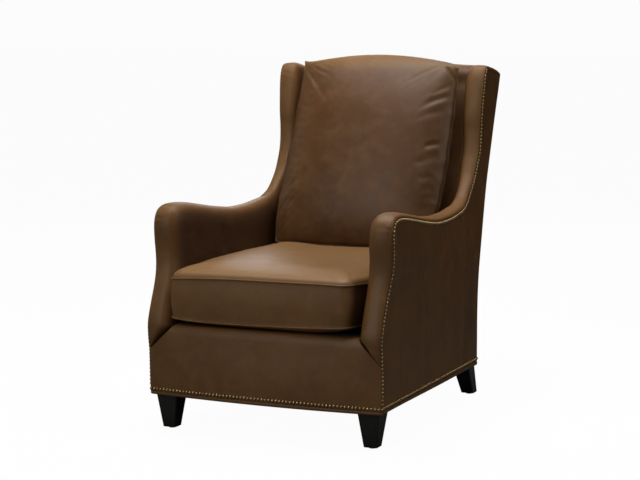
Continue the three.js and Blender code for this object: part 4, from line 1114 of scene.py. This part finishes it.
# ---------------------------------------------------------------------------------------------
# Seat cushion and back pillow
# ---------------------------------------------------------------------------------------------
CUSHION_FRONT = -7
CUSHION_REAR = 701.4
CUSHION_HALF = 286.5
CUSHION_CORNERS = (34, 42, 42, 26)
CUSHION_SHIFT = ((-13, 56), (-19, 200))
SEAM_LOW = 337
SEAM_HIGH = 453
HIGH_SEAM = [(-300, 449), (-240, 453), (-120, 458), (60, 460), (180, 461.5), (266, 461)]
LOW_SEAM = [(-300, 337), (-225, 331), (-60, 330), (80, 333), (190, 338), (266, 343)]
CUSHION_TOP = 491
CUSHION_CROWN = [(0, 1), (0.3, 1), (0.55, 0.985), (0.74, 0.93), (0.86, 0.82), (0.93, 0.66), (0.975, 0.42), (1, 0)]
CUSHION_CELLS = 48
CUSHION_BOX_ROWS = 26
CUSHION_DRAW_IN = 4
CUSHION_FULLER_LEFT = 1.7
CUSHION_UNDER_PILLOW = 5


def cushion_rim():
    """Outline of the cushion, the same number of points on each side, from the middle of a corner."""
    half = CUSHION_HALF
    boxes = [(half, CUSHION_FRONT), (half, CUSHION_REAR), (-half, CUSHION_REAR), (-half, CUSHION_FRONT)]
    line = []
    for k, ((bx, by), corner) in enumerate(zip(boxes, CUSHION_CORNERS)):
        cx, cy = bx - np.sign(bx) * corner, by - np.sign(by - 300) * corner
        turn = -np.pi / 2 + k * np.pi / 2 + np.linspace(0, np.pi / 2, 17)
        line.append(np.stack([cx + corner * np.cos(turn), cy + corner * np.sin(turn)], 1))
    sides = []
    for k in range(4):
        here, there = line[k], line[(k + 1) % 4]
        run = np.concatenate([here[8:], there[:9]])
        run = resampled(run, line_length(run) / (2 * CUSHION_CELLS))
        t = np.linspace(0, 1, len(run))
        middle = np.array([0, (CUSHION_FRONT + CUSHION_REAR) / 2])
        inward = middle - run.mean(0)
        inward /= np.linalg.norm(inward)
        run = run + inward * (CUSHION_DRAW_IN * np.sin(np.pi * t) ** 2)[:, None]
        sides.append(run[:2 * CUSHION_CELLS])
    rim = np.concatenate(sides)
    for sign, (shift, reach) in zip((-1, 1), CUSHION_SHIFT):
        share = np.clip(sign * rim[:, 0] / half, 0, 1)
        rim[:, 0] += shift * share * ease(share_of(reach - rim[:, 1], 0, reach))
    return rim


def seam_level(rim, plain, front):
    """Height of a seam: the front's own line, and level along the sides and the back."""
    near = ease(share_of(150 - rim[:, 1], 0, 150))
    return mix(plain, curve_at(front, np.clip(rim[:, 0], -299, 265)), near)


def square_cap(rim, centre, height_of, cells):
    """A grid of squares that fills a rim of 8 x cells points, ring by ring."""
    n = cells
    grid = np.zeros((2 * n + 1, 2 * n + 1, 3))
    for i in range(-n, n + 1):
        for j in range(-n, n + 1):
            r = max(abs(i), abs(j))
            if r == 0:
                place, share, low = centre, 0.0, 0
            else:
                if i == r and j > -r:
                    t = 0 + (j + r) / (2 * r)
                elif j == r and i < r:
                    t = 1 + (r - i) / (2 * r)
                elif i == -r and j < r:
                    t = 2 + (r - j) / (2 * r)
                else:
                    t = 3 + (i + r) / (2 * r)
                k = t * 2 * n
                low = int(np.floor(k)) % len(rim)
                point = mix(rim[low], rim[(low + 1) % len(rim)], k - np.floor(k))
                share = r / n
                place = mix(centre, point, share)
            grid[i + n, j + n] = (*place, height_of(share, low))
    return grid


def cushion_shape():
    """Seat cushion: crowned top, boxed sides that draw in, and a belly that rests on the deck."""
    centre = np.array([-4, (CUSHION_FRONT + CUSHION_REAR) / 2])
    rim = cushion_rim()
    crown = spline(CUSHION_CROWN)
    high, low = seam_level(rim, SEAM_HIGH, HIGH_SEAM), seam_level(rim, SEAM_LOW, LOW_SEAM)
    foot = DECK_HEIGHT + 0.6

    def top_height(share, k):
        fuller = mix(1, CUSHION_FULLER_LEFT, ease(share_of(-rim[k, 0], 120, 260)) * ease(share_of(rim[k, 1], 20, 150)))
        share = 1 - min(1, (1 - share) * fuller)
        depth = mix(centre[1], rim[k, 1], share)
        full = mix(high[k], CUSHION_TOP, np.interp(share, crown[:, 0], crown[:, 1]))
        return full - CUSHION_UNDER_PILLOW * ease(share_of(depth, 380, 620))

    def under_height(share, k):
        corner = abs((k / (2 * CUSHION_CELLS)) % 1 - 0.5) * 2
        inside = (1 - share) * CUSHION_HALF
        return mix(low[k], foot, 1 - np.exp(-((inside / mix(13, 34, corner**4)) ** 1.25)))

    top = square_cap(rim, centre, top_height, CUSHION_CELLS)
    under = square_cap(rim, centre, under_height, CUSHION_CELLS)
    box = []
    for k in range(CUSHION_BOX_ROWS + 1):
        t = k / CUSHION_BOX_ROWS
        bulge = 1 + (4 * np.sin(np.pi * t) ** 0.7 - 2.4 * (0 < t < 1)) / CUSHION_HALF
        box.append(np.c_[(rim - centre) * bulge + centre, mix(low, high, t)])
    box = np.array(box)
    box = np.concatenate([box, box[:, :1]], 1)
    return outwards(joined([top, under[::-1], box[::-1]])), np.c_[rim, high], np.c_[rim, low]


def vertex_places(mesh):
    co = np.zeros(len(mesh.vertices) * 3, np.float32)
    mesh.vertices.foreach_get("co", co)
    return co.reshape(-1, 3)


def cushion_painted_light(points):
    """Painted light on the seat cushion's top: a painted highlight along the front, less towards the back."""
    return mix(0.95, 0.66, ease(share_of(points[:, 1], 30, 130)))


SWELL_FRAMES = 20
SWELL_LEVELS = 20
SWELL_HOLD = (3, 26)


def swell(piece, pressure, cap, seams):
    """Fills a cover: a short cloth simulation held at its seams, with how far a point may move capped."""
    scene = bpy.context.scene
    rest = vertex_places(piece.data)
    gap = np.full(len(rest), 1e9)
    for seam in seams:
        gap = np.minimum(gap, line_distance(rest * 1000 + ORIGIN, np.concatenate([seam, seam[:1]])[::4])[0])
    held = 1 - ease(share_of(gap, *SWELL_HOLD))
    group = piece.vertex_groups.new(name="held")
    for level in range(1, SWELL_LEVELS + 1):
        chosen = np.nonzero(np.round(held * SWELL_LEVELS) == level)[0]
        if len(chosen):
            group.add(chosen.tolist(), level / SWELL_LEVELS, "REPLACE")
    modifier = piece.modifiers.new("filling", "CLOTH")
    settings = modifier.settings
    settings.vertex_group_mass = "held"
    settings.use_pressure = True
    settings.uniform_pressure_force = pressure
    settings.effector_weights.gravity = 0
    settings.quality = 3
    settings.tension_stiffness = 15
    settings.compression_stiffness = 15
    settings.bending_stiffness = 0.4
    modifier.point_cache.frame_start = 1
    modifier.point_cache.frame_end = SWELL_FRAMES
    for number in range(1, SWELL_FRAMES + 1):
        scene.frame_set(number)
    shaped = piece.evaluated_get(bpy.context.evaluated_depsgraph_get()).to_mesh()
    moved = vertex_places(shaped) - rest
    size = np.linalg.norm(moved, axis=1)
    moved *= (cap / np.maximum(size, 1e-9) * np.tanh(size / cap))[:, None]
    piece.modifiers.remove(modifier)
    piece.vertex_groups.remove(group)
    scene.frame_set(1)
    piece.data.vertices.foreach_set("co", (rest + moved).ravel())
    piece.data.update()


class ARMCHAIR_OT_seat_cushion(bpy.types.Operator):
    """Loose boxed seat cushion with welted seams"""

    bl_idname = "armchair.seat_cushion"
    bl_label = "Seat cushion"

    def execute(self, context):
        shape, high, low = cushion_shape()
        # Painted light: the cushion is painted lighter all over, most on its top and with a painted highlight along its
        # front edge.
        tone = light_and_shade_by_facing(shape, 2, 1, 0.34, cushion_painted_light(shape[0]))
        cushion = cushion_piece("seat_cushion_cover", shape, "seat_cushion", tone, ["seat_cushion"])
        swell(cushion, 4.0, sizes().cushion_swell, [high, low])
        radius = sizes().cushion_welt * 500
        for name, seam in (("upper", high), ("lower", low)):
            cushion_piece(f"cushion_welt_{name}", tube(seam, radius), "seat_cushion", 0.25)
        return {"FINISHED"}


PILLOW_FOOT = (640.0, 489.8)
PILLOW_LENGTH = 602
PILLOW_RAKE = np.arctan(BACKREST_LEAN * BACK_LEAN / BACK_RISE) + np.radians(2.1)
PILLOW_FRONT = 84
PILLOW_BACK = 73
PILLOW_ARCH = 33
PILLOW_SIDES = (
    [(0, 268), (0.04, 272), (0.1, 277), (0.2, 279), (0.3, 277.5), (0.45, 274), (0.6, 271.5), (0.8, 271.5), (1, 270)],
    [(0, 262), (0.1, 268), (0.2, 274), (0.28, 279.5), (0.43, 282), (0.63, 281), (0.8, 277), (0.93, 272), (1, 270)],
)
PILLOW_EAR = 14
PILLOW_DROOP = 10
PILLOW_SCALLOPS = [(0.12, 1.6), (0.23, 2.2), (0.36, 1.8), (0.47, 2.4), (0.6, 1.7), (0.73, 2.1), (0.88, 1.8)]


def pillow_place(u, v, swell_out):
    """A point of the pillow: across, up along its plane, and out of it."""
    y = PILLOW_FOOT[0] + v * np.sin(PILLOW_RAKE) - swell_out * np.cos(PILLOW_RAKE)
    z = PILLOW_FOOT[1] + v * np.cos(PILLOW_RAKE) + swell_out * np.sin(PILLOW_RAKE)
    return np.stack([u, y, z], -1)


CROWDING = 0.93
PILLOW_COLUMNS = 108
PILLOW_ROWS = 116


def crowding(count):
    """Angles whose sines lie closer together near both ends."""
    return np.linspace(-1, 1, count) * np.pi / 2 * CROWDING


def pillow_sheet(swell_full, sign):
    """One face of the pillow, out to the seam: a grid of points with scallops, pointed ears and a droop."""
    up = 0.5 + 0.5 * np.sin(crowding(PILLOW_ROWS)) / np.sin(np.pi / 2 * CROWDING)
    S, T = np.meshgrid(np.sin(crowding(PILLOW_COLUMNS)) / np.sin(np.pi / 2 * CROWDING), up)
    half = np.where(S < 0, curve_at(PILLOW_SIDES[0], T), curve_at(PILLOW_SIDES[1], T))
    half = half + (np.abs(S) ** 8) * sum(h * np.exp(-(((T - t) / 0.03) ** 2)) - h / 2 for t, h in PILLOW_SCALLOPS)
    u = S * half
    v = T * (PILLOW_LENGTH + PILLOW_ARCH * (1 - np.abs(S) ** 1.9) * T) + 1.5 * (S * S - 1) * (1 - T) - 5 * (1 - T) ** 5
    tau = 2 * T - 1
    crown = np.clip(1 - np.abs(S) ** 2.4, 0, 1) ** 0.5 * np.clip(1 - np.abs(tau) ** 2.6, 0, 1) ** 0.5
    ear = np.exp(-(1 - np.abs(S)) * half / PILLOW_EAR) * np.exp(-(1 - T) * PILLOW_LENGTH / PILLOW_EAR)
    u = u + np.sign(S) * ear * 6
    v = v + ear * np.where(S > 0, -13, 8)
    droop = np.exp(-((S - 1) * half / 34) ** 2) * np.exp(-(((1 - T) * PILLOW_LENGTH) / 24) ** 2)
    return pillow_place(u, v, sign * swell_full * crown + droop * PILLOW_DROOP)


PILLOW_FOLDS = [
    ([(304, 63), (312, 67), (322, 71.5), (331, 73.5)], 5, 2.4, 0.5, 0.3),
    ([(306, 71), (312, 77), (317, 86)], 5.5, 1.6, 0.5, 0.2),
    ([(443, 66), (451, 73), (457, 86)], 5.5, 3.6, 0.5, 0.4),
    ([(424, 104), (440, 99), (455, 96)], 8, 2.4, 0.6, 0.3),
    ([(414, 116), (434, 113), (454, 108)], 10, 1.6, 0.5, 0.1),
    ([(424, 147), (441, 144), (456, 139)], 7.5, 3.4, 0.6, 0.5),
    ([(408, 165), (426, 160), (444, 155)], 11, 2.0, 0.5, 0.2),
    ([(416, 180), (434, 176), (451, 178)], 10, 1.8, 0.5, 0.2),
    ([(420, 201), (434, 197), (446, 200)], 9, 1.6, 0.5, 0.2),
    *[([(x, v), (x + 7, v + 2), (x + 14, v + 2.5)], 5.5, 1.5, 0.5, 0.2)
      for x, v in ((301, 88), (298, 104), (296, 121), (293, 137), (290, 156), (287, 172), (283, 191), (279, 210))],
]


def pillow_painted_light_and_shade(points):
    """Painted light and shade of the pillow: painted light along its top, painted shade elsewhere, darker towards its
    right side.
    """
    across, up = points[:, 0], points[:, 2]
    return mix(-0.26 - 0.25 * ease(share_of(across, 90, 250)), 0.7, ease(share_of(up, 1010, 1080)))


def pillow_shape():
    front = pillow_sheet(PILLOW_FRONT, 1)
    back = pillow_sheet(PILLOW_BACK, -1)
    return outwards(joined([front, back[:, ::-1]])), front


class ARMCHAIR_OT_back_pillow(bpy.types.Operator):
    """Loose back pillow with a seam all round and pointed upper corners"""

    bl_idname = "armchair.back_pillow"
    bl_label = "Back pillow"

    def execute(self, context):
        shape, front = pillow_shape()
        rim = np.concatenate([front[0, :-1], front[:-1, -1], front[-1, :0:-1], front[:0:-1, 0]])
        shape = folds_seen(shape, PILLOW_FOLDS)
        pillow = cushion_piece("back_pillow_cover", shape, "back_pillow", pillow_painted_light_and_shade(shape[0]), ["back_pillow"])
        swell(pillow, 3.0, sizes().pillow_swell, [rim])
        seam = tube(rim, sizes().pillow_welt * 500)
        # Painted light and shade: the seam is painted lighter on its left and darker on its right.
        cushion_piece("pillow_seam", seam, "back_pillow", mix(0.8, -0.6, ease(share_of(seam[0][:, 0], -270, 230))))
        return {"FINISHED"}


# ---------------------------------------------------------------------------------------------
# Nails and welt
# ---------------------------------------------------------------------------------------------
def nail_path(hand):
    """Line of one side's nails with the direction that each nail faces."""
    sign = 1 if hand == "right" else -1
    inset = EDGE - EDGE_NORMAL * NAIL_INSET
    keep = (np.arange(len(EDGE)) <= WING_CORNER) & (EDGE[:, 1] > NAIL_LEVEL + 11)
    line = inset[keep]
    x = side(line[:, 0], line[:, 1])
    slope_y = (side(line[:, 0] + 2, line[:, 1]) - side(line[:, 0] - 2, line[:, 1])) / 4
    slope_z = (side(line[:, 0], line[:, 1] + 2) - side(line[:, 0], line[:, 1] - 2)) / 4
    facing = np.stack([np.ones(len(line)), -slope_y, -slope_z], 1)
    points = np.c_[x + 1.0, line] * [sign, 1, 1]
    return points, facing * [sign, 1, 1], False


def base_path(inset=0.0):
    """Line of the nails round the base, with the direction that each faces; it bows at the front."""
    front = -3.2 + inset
    half, rear_half = FRONT_WIDTH / 2 - 0.6 - inset, REAR_WIDTH / 2 + 0.2 - inset
    xs = np.linspace(-half + 3, half - 3, 120)
    ring = [*np.c_[xs, front - front_bow(xs)], (half, front + 4), (rear_half, BASE_DEPTH - 4 - inset),
            (rear_half - 4, BASE_DEPTH + 0.4 - inset), (4 - rear_half, BASE_DEPTH + 0.4 - inset),
            (-rear_half, BASE_DEPTH - 4 - inset), (-half, front + 4)]
    ring.append(ring[0])
    line = resampled(np.array(ring), 3)[:-1]
    along = np.roll(line, -1, 0) - np.roll(line, 1, 0)
    facing = np.c_[along[:, 1], -along[:, 0], np.zeros(len(line))]
    facing /= np.linalg.norm(facing, axis=1)[:, None]
    return np.c_[line, np.full(len(line), float(NAIL_LEVEL))] + facing, facing, True


NAIL_SEGMENTS = 10
NAIL_RINGS = 6


def nail_tree():
    """Geometry nodes: round-headed nails set along a line at an even pitch."""
    tree = bpy.data.node_groups.get("nail row")
    if tree:
        return tree
    tree = bpy.data.node_groups.new("nail row", "GeometryNodeTree")
    face = tree.interface
    face.new_socket("Geometry", in_out="INPUT", socket_type="NodeSocketGeometry")
    for name in ("Pitch", "Width", "Rise"):
        face.new_socket(name, in_out="INPUT", socket_type="NodeSocketFloat")
    face.new_socket("Material", in_out="INPUT", socket_type="NodeSocketMaterial")
    face.new_socket("Geometry", in_out="OUTPUT", socket_type="NodeSocketGeometry")
    add = tree.nodes.new
    given, out = add("NodeGroupInput"), add("NodeGroupOutput")
    curve, points = add("GeometryNodeMeshToCurve"), add("GeometryNodeCurveToPoints")
    points.mode = "LENGTH"
    head, scale = add("GeometryNodeMeshUVSphere"), add("GeometryNodeTransform")
    head.inputs["Segments"].default_value = NAIL_SEGMENTS
    head.inputs["Rings"].default_value = NAIL_RINGS
    head.inputs["Radius"].default_value = 1.0
    half, size = add("ShaderNodeMath"), add("ShaderNodeCombineXYZ")
    half.operation = "MULTIPLY"
    half.inputs[1].default_value = 0.5
    facing, align = add("GeometryNodeInputNamedAttribute"), add("FunctionNodeAlignRotationToVector")
    facing.data_type = "FLOAT_VECTOR"
    facing.inputs["Name"].default_value = "facing"
    align.axis = "Z"
    place, real = add("GeometryNodeInstanceOnPoints"), add("GeometryNodeRealizeInstances")
    smooth, paint = add("GeometryNodeSetShadeSmooth"), add("GeometryNodeSetMaterial")
    for source, target in (
        (given.outputs["Geometry"], curve.inputs["Mesh"]), (curve.outputs["Curve"], points.inputs["Curve"]),
        (given.outputs["Pitch"], points.inputs["Length"]), (given.outputs["Width"], half.inputs[0]),
        (half.outputs[0], size.inputs[0]), (half.outputs[0], size.inputs[1]), (given.outputs["Rise"], size.inputs[2]),
        (head.outputs["Mesh"], scale.inputs["Geometry"]), (size.outputs[0], scale.inputs["Scale"]),
        (facing.outputs["Attribute"], align.inputs["Vector"]), (points.outputs["Points"], place.inputs["Points"]),
        (scale.outputs["Geometry"], place.inputs["Instance"]), (align.outputs["Rotation"], place.inputs["Rotation"]),
        (place.outputs["Instances"], real.inputs["Geometry"]), (real.outputs["Geometry"], smooth.inputs["Geometry"]),
        (smooth.outputs["Geometry"], paint.inputs["Geometry"]), (given.outputs["Material"], paint.inputs["Material"]),
        (paint.outputs["Geometry"], out.inputs["Geometry"]),
    ):
        tree.links.new(source, target)
    return tree


def nails_along(name, path, material, replaces):
    """A row of nails as one piece, from the points and directions of its line."""
    points, facing, closed = path
    count = len(points)
    edges = [(i, i + 1) for i in range(count - 1)] + ([(count - 1, 0)] if closed else [])
    line = bpy.data.meshes.new(name + "_line")
    line.from_pydata(((points - ORIGIN) / 1000).tolist(), edges, [])
    layer = line.attributes.new("facing", "FLOAT_VECTOR", "POINT")
    layer.data.foreach_set("vector", facing.astype(np.float32).ravel())
    guide = bpy.data.objects.new(name + "_line", line)
    bpy.context.scene.collection.objects.link(guide)
    modifier = guide.modifiers.new("nails", "NODES")
    modifier.node_group = nail_tree()
    values = {"Pitch": sizes().nail_pitch, "Width": sizes().nail_width, "Rise": sizes().nail_rise,
              "Material": material}
    for item in modifier.node_group.interface.items_tree:
        if item.in_out == "INPUT" and item.name in values:
            modifier[item.identifier] = values[item.name]
    graph = bpy.context.evaluated_depsgraph_get()
    mesh = bpy.data.meshes.new_from_object(guide.evaluated_get(graph), depsgraph=graph)
    bpy.data.objects.remove(guide)
    mesh.name = name
    piece = bpy.data.objects.new(name, mesh)
    bpy.context.scene.collection.objects.link(piece)
    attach(piece, "chair")
    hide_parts(*replaces)
    return piece


class ARMCHAIR_OT_nails(bpy.types.Operator):
    """Rows of round-headed nails along the arms and wings and round the base"""

    bl_idname = "armchair.nails"
    bl_label = "Nails"

    def execute(self, context):
        colour_now = colour_of("brass")
        brass = metal_material("antique brass", colour_now, scaled(colour_now, 0.5), 0.33)
        for hand in ("left", "right"):
            nails_along(f"nails_{hand}", nail_path(hand), brass, [f"nail_row_{hand}"])
        nails_along("nails_base", base_path(), brass, ["nail_row_base"])
        return {"FINISHED"}


WELT_SAG = 4.4
WELT_SAG_AT_REAR = 1.7
WELT_SIDES = 12


class ARMCHAIR_OT_base_welt(bpy.types.Operator):
    """Welt round the bottom edge"""

    bl_idname = "armchair.base_welt"
    bl_label = "Base welt"

    def execute(self, context):
        points, _, _ = base_path(inset=2.2)
        x, y = points[:, 0], points[:, 1]
        radius = sizes().base_welt * 500
        middle = np.where(y < 0, np.maximum(0, 1 - (2 * x / FRONT_WIDTH) ** 2), 0)
        sag = WELT_SAG + middle + WELT_SAG_AT_REAR * ease(share_of(y, 100, 540))
        welt = tube(np.c_[x, y, LEG_HEIGHT + 0.4 - sag], radius, WELT_SIDES, tall=sag / radius)
        # Painted shade: the welt under the bottom edge is painted darker (tone -0.5).
        cover_piece("base_welt_cord", welt, ["base_welt"], -0.5, thickness=0.0)
        return {"FINISHED"}


# ---------------------------------------------------------------------------------------------
# Parts kept from the frame, and the stage
# ---------------------------------------------------------------------------------------------
class ARMCHAIR_OT_frame_finish(bpy.types.Operator):
    """Finishes of the legs, timber, springs, bolts, webbing and cloth"""

    bl_idname = "armchair.frame_finish"
    bl_label = "Frame finishes"

    def execute(self, context):
        finishes = {
            "leg_wood": timber_material("black lacquered wood", (0.012, 0.0115, 0.0095), (0.006, 0.006, 0.005),
                                        0.34, (6, 6, 0.6)),
            "frame_wood": timber_material("bare hardwood", (0.55, 0.4, 0.24), (0.38, 0.25, 0.13), 0.7, (1, 1, 5)),
            "steel": metal_material("steel", (0.42, 0.43, 0.45), (0.2, 0.2, 0.21), 0.38),
            "glide": moulded_material("glide plastic", (0.02, 0.02, 0.02)),
            "cloth": cloth_material("black lining", (0.005, 0.0045, 0.004), (0.013, 0.012, 0.011), 260),
            "webbing": cloth_material("jute webbing", (0.3, 0.2, 0.1), (0.5, 0.38, 0.22), 130),
            "leather": leather(),
            "cushion_leather": leather("cushion"),
        }
        for row in frame["record"]["subparts"]:
            node = frame["nodes"][row["node"]]
            finish = finishes.get(row["material_slot"])
            if finish is None or node.hide_render:
                continue
            node.data.materials.clear()
            node.data.materials.append(finish)
        return {"FINISHED"}


FLOOR_REACH = 40
FLOOR_GLOW = 0.965
FLOOR_BOUNCE = 0.14
FILL = 0.02
STUDIO = (
    ("top light", (-0.1, 0.0, 3.4), (0, 0.1, 0.5), (2.4, 2.4), 102),
    ("front light", (-0.9, -4.3, 2.2), (0, 0, 0.5), (1.8, 2.2), 60),
    ("left light", (-3.8, 0.0, 1.6), (0, 0, 0.5), (1.8, 2.2), 7),
    ("right light", (3.9, 0.2, 2.6), (0, 0.1, 0.6), (1.8, 2.2), 32),
    ("back light", (-1.8, 4.2, 2.4), (0, 0, 0.5), (2.2, 2.2), 42),
)


def area_light(name, place, aim, size, power):
    light = bpy.data.lights.new(name, "AREA")
    light.shape = "RECTANGLE"
    light.size, light.size_y = size
    light.energy = power
    lamp = bpy.data.objects.new(name, light)
    lamp.location = place
    lamp.rotation_mode = "QUATERNION"
    lamp.rotation_quaternion = (Vector(aim) - Vector(place)).to_track_quat("-Z", "Y")
    bpy.context.scene.collection.objects.link(lamp)
    return lamp


class ARMCHAIR_OT_stage(bpy.types.Operator):
    """Pale flat floor, soft lights and the camera"""

    bl_idname = "armchair.stage"
    bl_label = "Stage"

    def execute(self, context):
        scene = context.scene
        n = Nodes("pale floor")
        tone = colour_of("floor")
        mottle = n.noise(1.2, 2)
        look = n.add("ShaderNodeLightPath").outputs["Is Camera Ray"]
        pale = n.ramp(mottle, (0.3, scaled(tone, 0.98)), (0.7, tone))
        n.link(n.blend(look, scaled(tone, FLOOR_BOUNCE), pale), n.shader.inputs["Base Color"])
        n.shade(Roughness=0.9, Specular_IOR_Level=0.1)
        glow, both = n.add("ShaderNodeEmission"), n.add("ShaderNodeMixShader")
        n.link(n.range(look, 0, 1, 0, FLOOR_GLOW), both.inputs[0])
        n.link(n.shader.outputs[0], both.inputs[1])
        n.link(glow.outputs[0], both.inputs[2])
        n.link(both.outputs[0], n.out.inputs[0])
        mesh = bpy.data.meshes.new("floor")
        r = FLOOR_REACH
        mesh.from_pydata([(-r, -r, 0), (r, -r, 0), (r, r, 0), (-r, r, 0)], [], [(0, 1, 2, 3)])
        mesh.materials.append(n.material)
        floor = bpy.data.objects.new("floor", mesh)
        scene.collection.objects.link(floor)

        for name, place, aim, size, power in STUDIO:
            area_light(name, place, aim, size, power)
        world = bpy.data.worlds.new("studio")
        world.use_nodes = True
        nodes, links = world.node_tree.nodes, world.node_tree.links
        path, level = nodes.new("ShaderNodeLightPath"), nodes.new("ShaderNodeMapRange")
        for socket, value in zip(level.inputs[1:5], (0, 1, FILL, FLOOR_GLOW + 0.004)):
            socket.default_value = value
        nodes["Background"].inputs[0].default_value = (1, 1, 1, 1)
        links.new(path.outputs["Is Camera Ray"], level.inputs[0])
        links.new(level.outputs[0], nodes["Background"].inputs[1])
        scene.world = world
        scene.view_settings.view_transform = "Standard"

        lens = bpy.data.cameras.new("camera")
        lens.lens, lens.sensor_width = CAMERA_LENS, SENSOR
        lens.clip_end = 100
        camera = bpy.data.objects.new("camera", lens)
        camera.location = (CAMERA_PLACE - ORIGIN) / 1000
        camera.rotation_euler = (np.pi / 2 - CAMERA_DIP, 0, CAMERA_TURN)
        scene.collection.objects.link(camera)
        scene.camera = camera
        return {"FINISHED"}


class ARMCHAIR_PT_panel(bpy.types.Panel):
    """Buttons that build the armchair's pieces"""

    bl_idname = "ARMCHAIR_PT_panel"
    bl_label = "Armchair"
    bl_space_type = "VIEW_3D"
    bl_region_type = "UI"
    bl_category = "Armchair"

    def draw(self, context):
        for operator in OPERATORS:
            self.layout.operator(operator.bl_idname)
        for group in (context.scene.armchair_sizes, context.scene.armchair_colours):
            for name in group.__annotations__:
                self.layout.prop(group, name)


OPERATORS = (
    ARMCHAIR_OT_stage, ARMCHAIR_OT_arm_covers, ARMCHAIR_OT_wing_covers, ARMCHAIR_OT_outside_panels, ARMCHAIR_OT_apron,
    ARMCHAIR_OT_back, ARMCHAIR_OT_seat_cushion, ARMCHAIR_OT_back_pillow, ARMCHAIR_OT_nails, ARMCHAIR_OT_base_welt,
    ARMCHAIR_OT_frame_finish,
)
CLASSES = (ArmchairSizes, ArmchairColours, *OPERATORS, ARMCHAIR_PT_panel)


def register():
    for item in CLASSES:
        bpy.utils.register_class(item)
    bpy.types.Scene.armchair_sizes = bpy.props.PointerProperty(type=ArmchairSizes)
    bpy.types.Scene.armchair_colours = bpy.props.PointerProperty(type=ArmchairColours)


def unregister():
    del bpy.types.Scene.armchair_colours
    del bpy.types.Scene.armchair_sizes
    for item in reversed(CLASSES):
        bpy.utils.unregister_class(item)


def main():
    register()
    for operator in OPERATORS:
        group, name = operator.bl_idname.split(".")
        getattr(getattr(bpy.ops, group), name)()


if __name__ == "__main__":
    main()
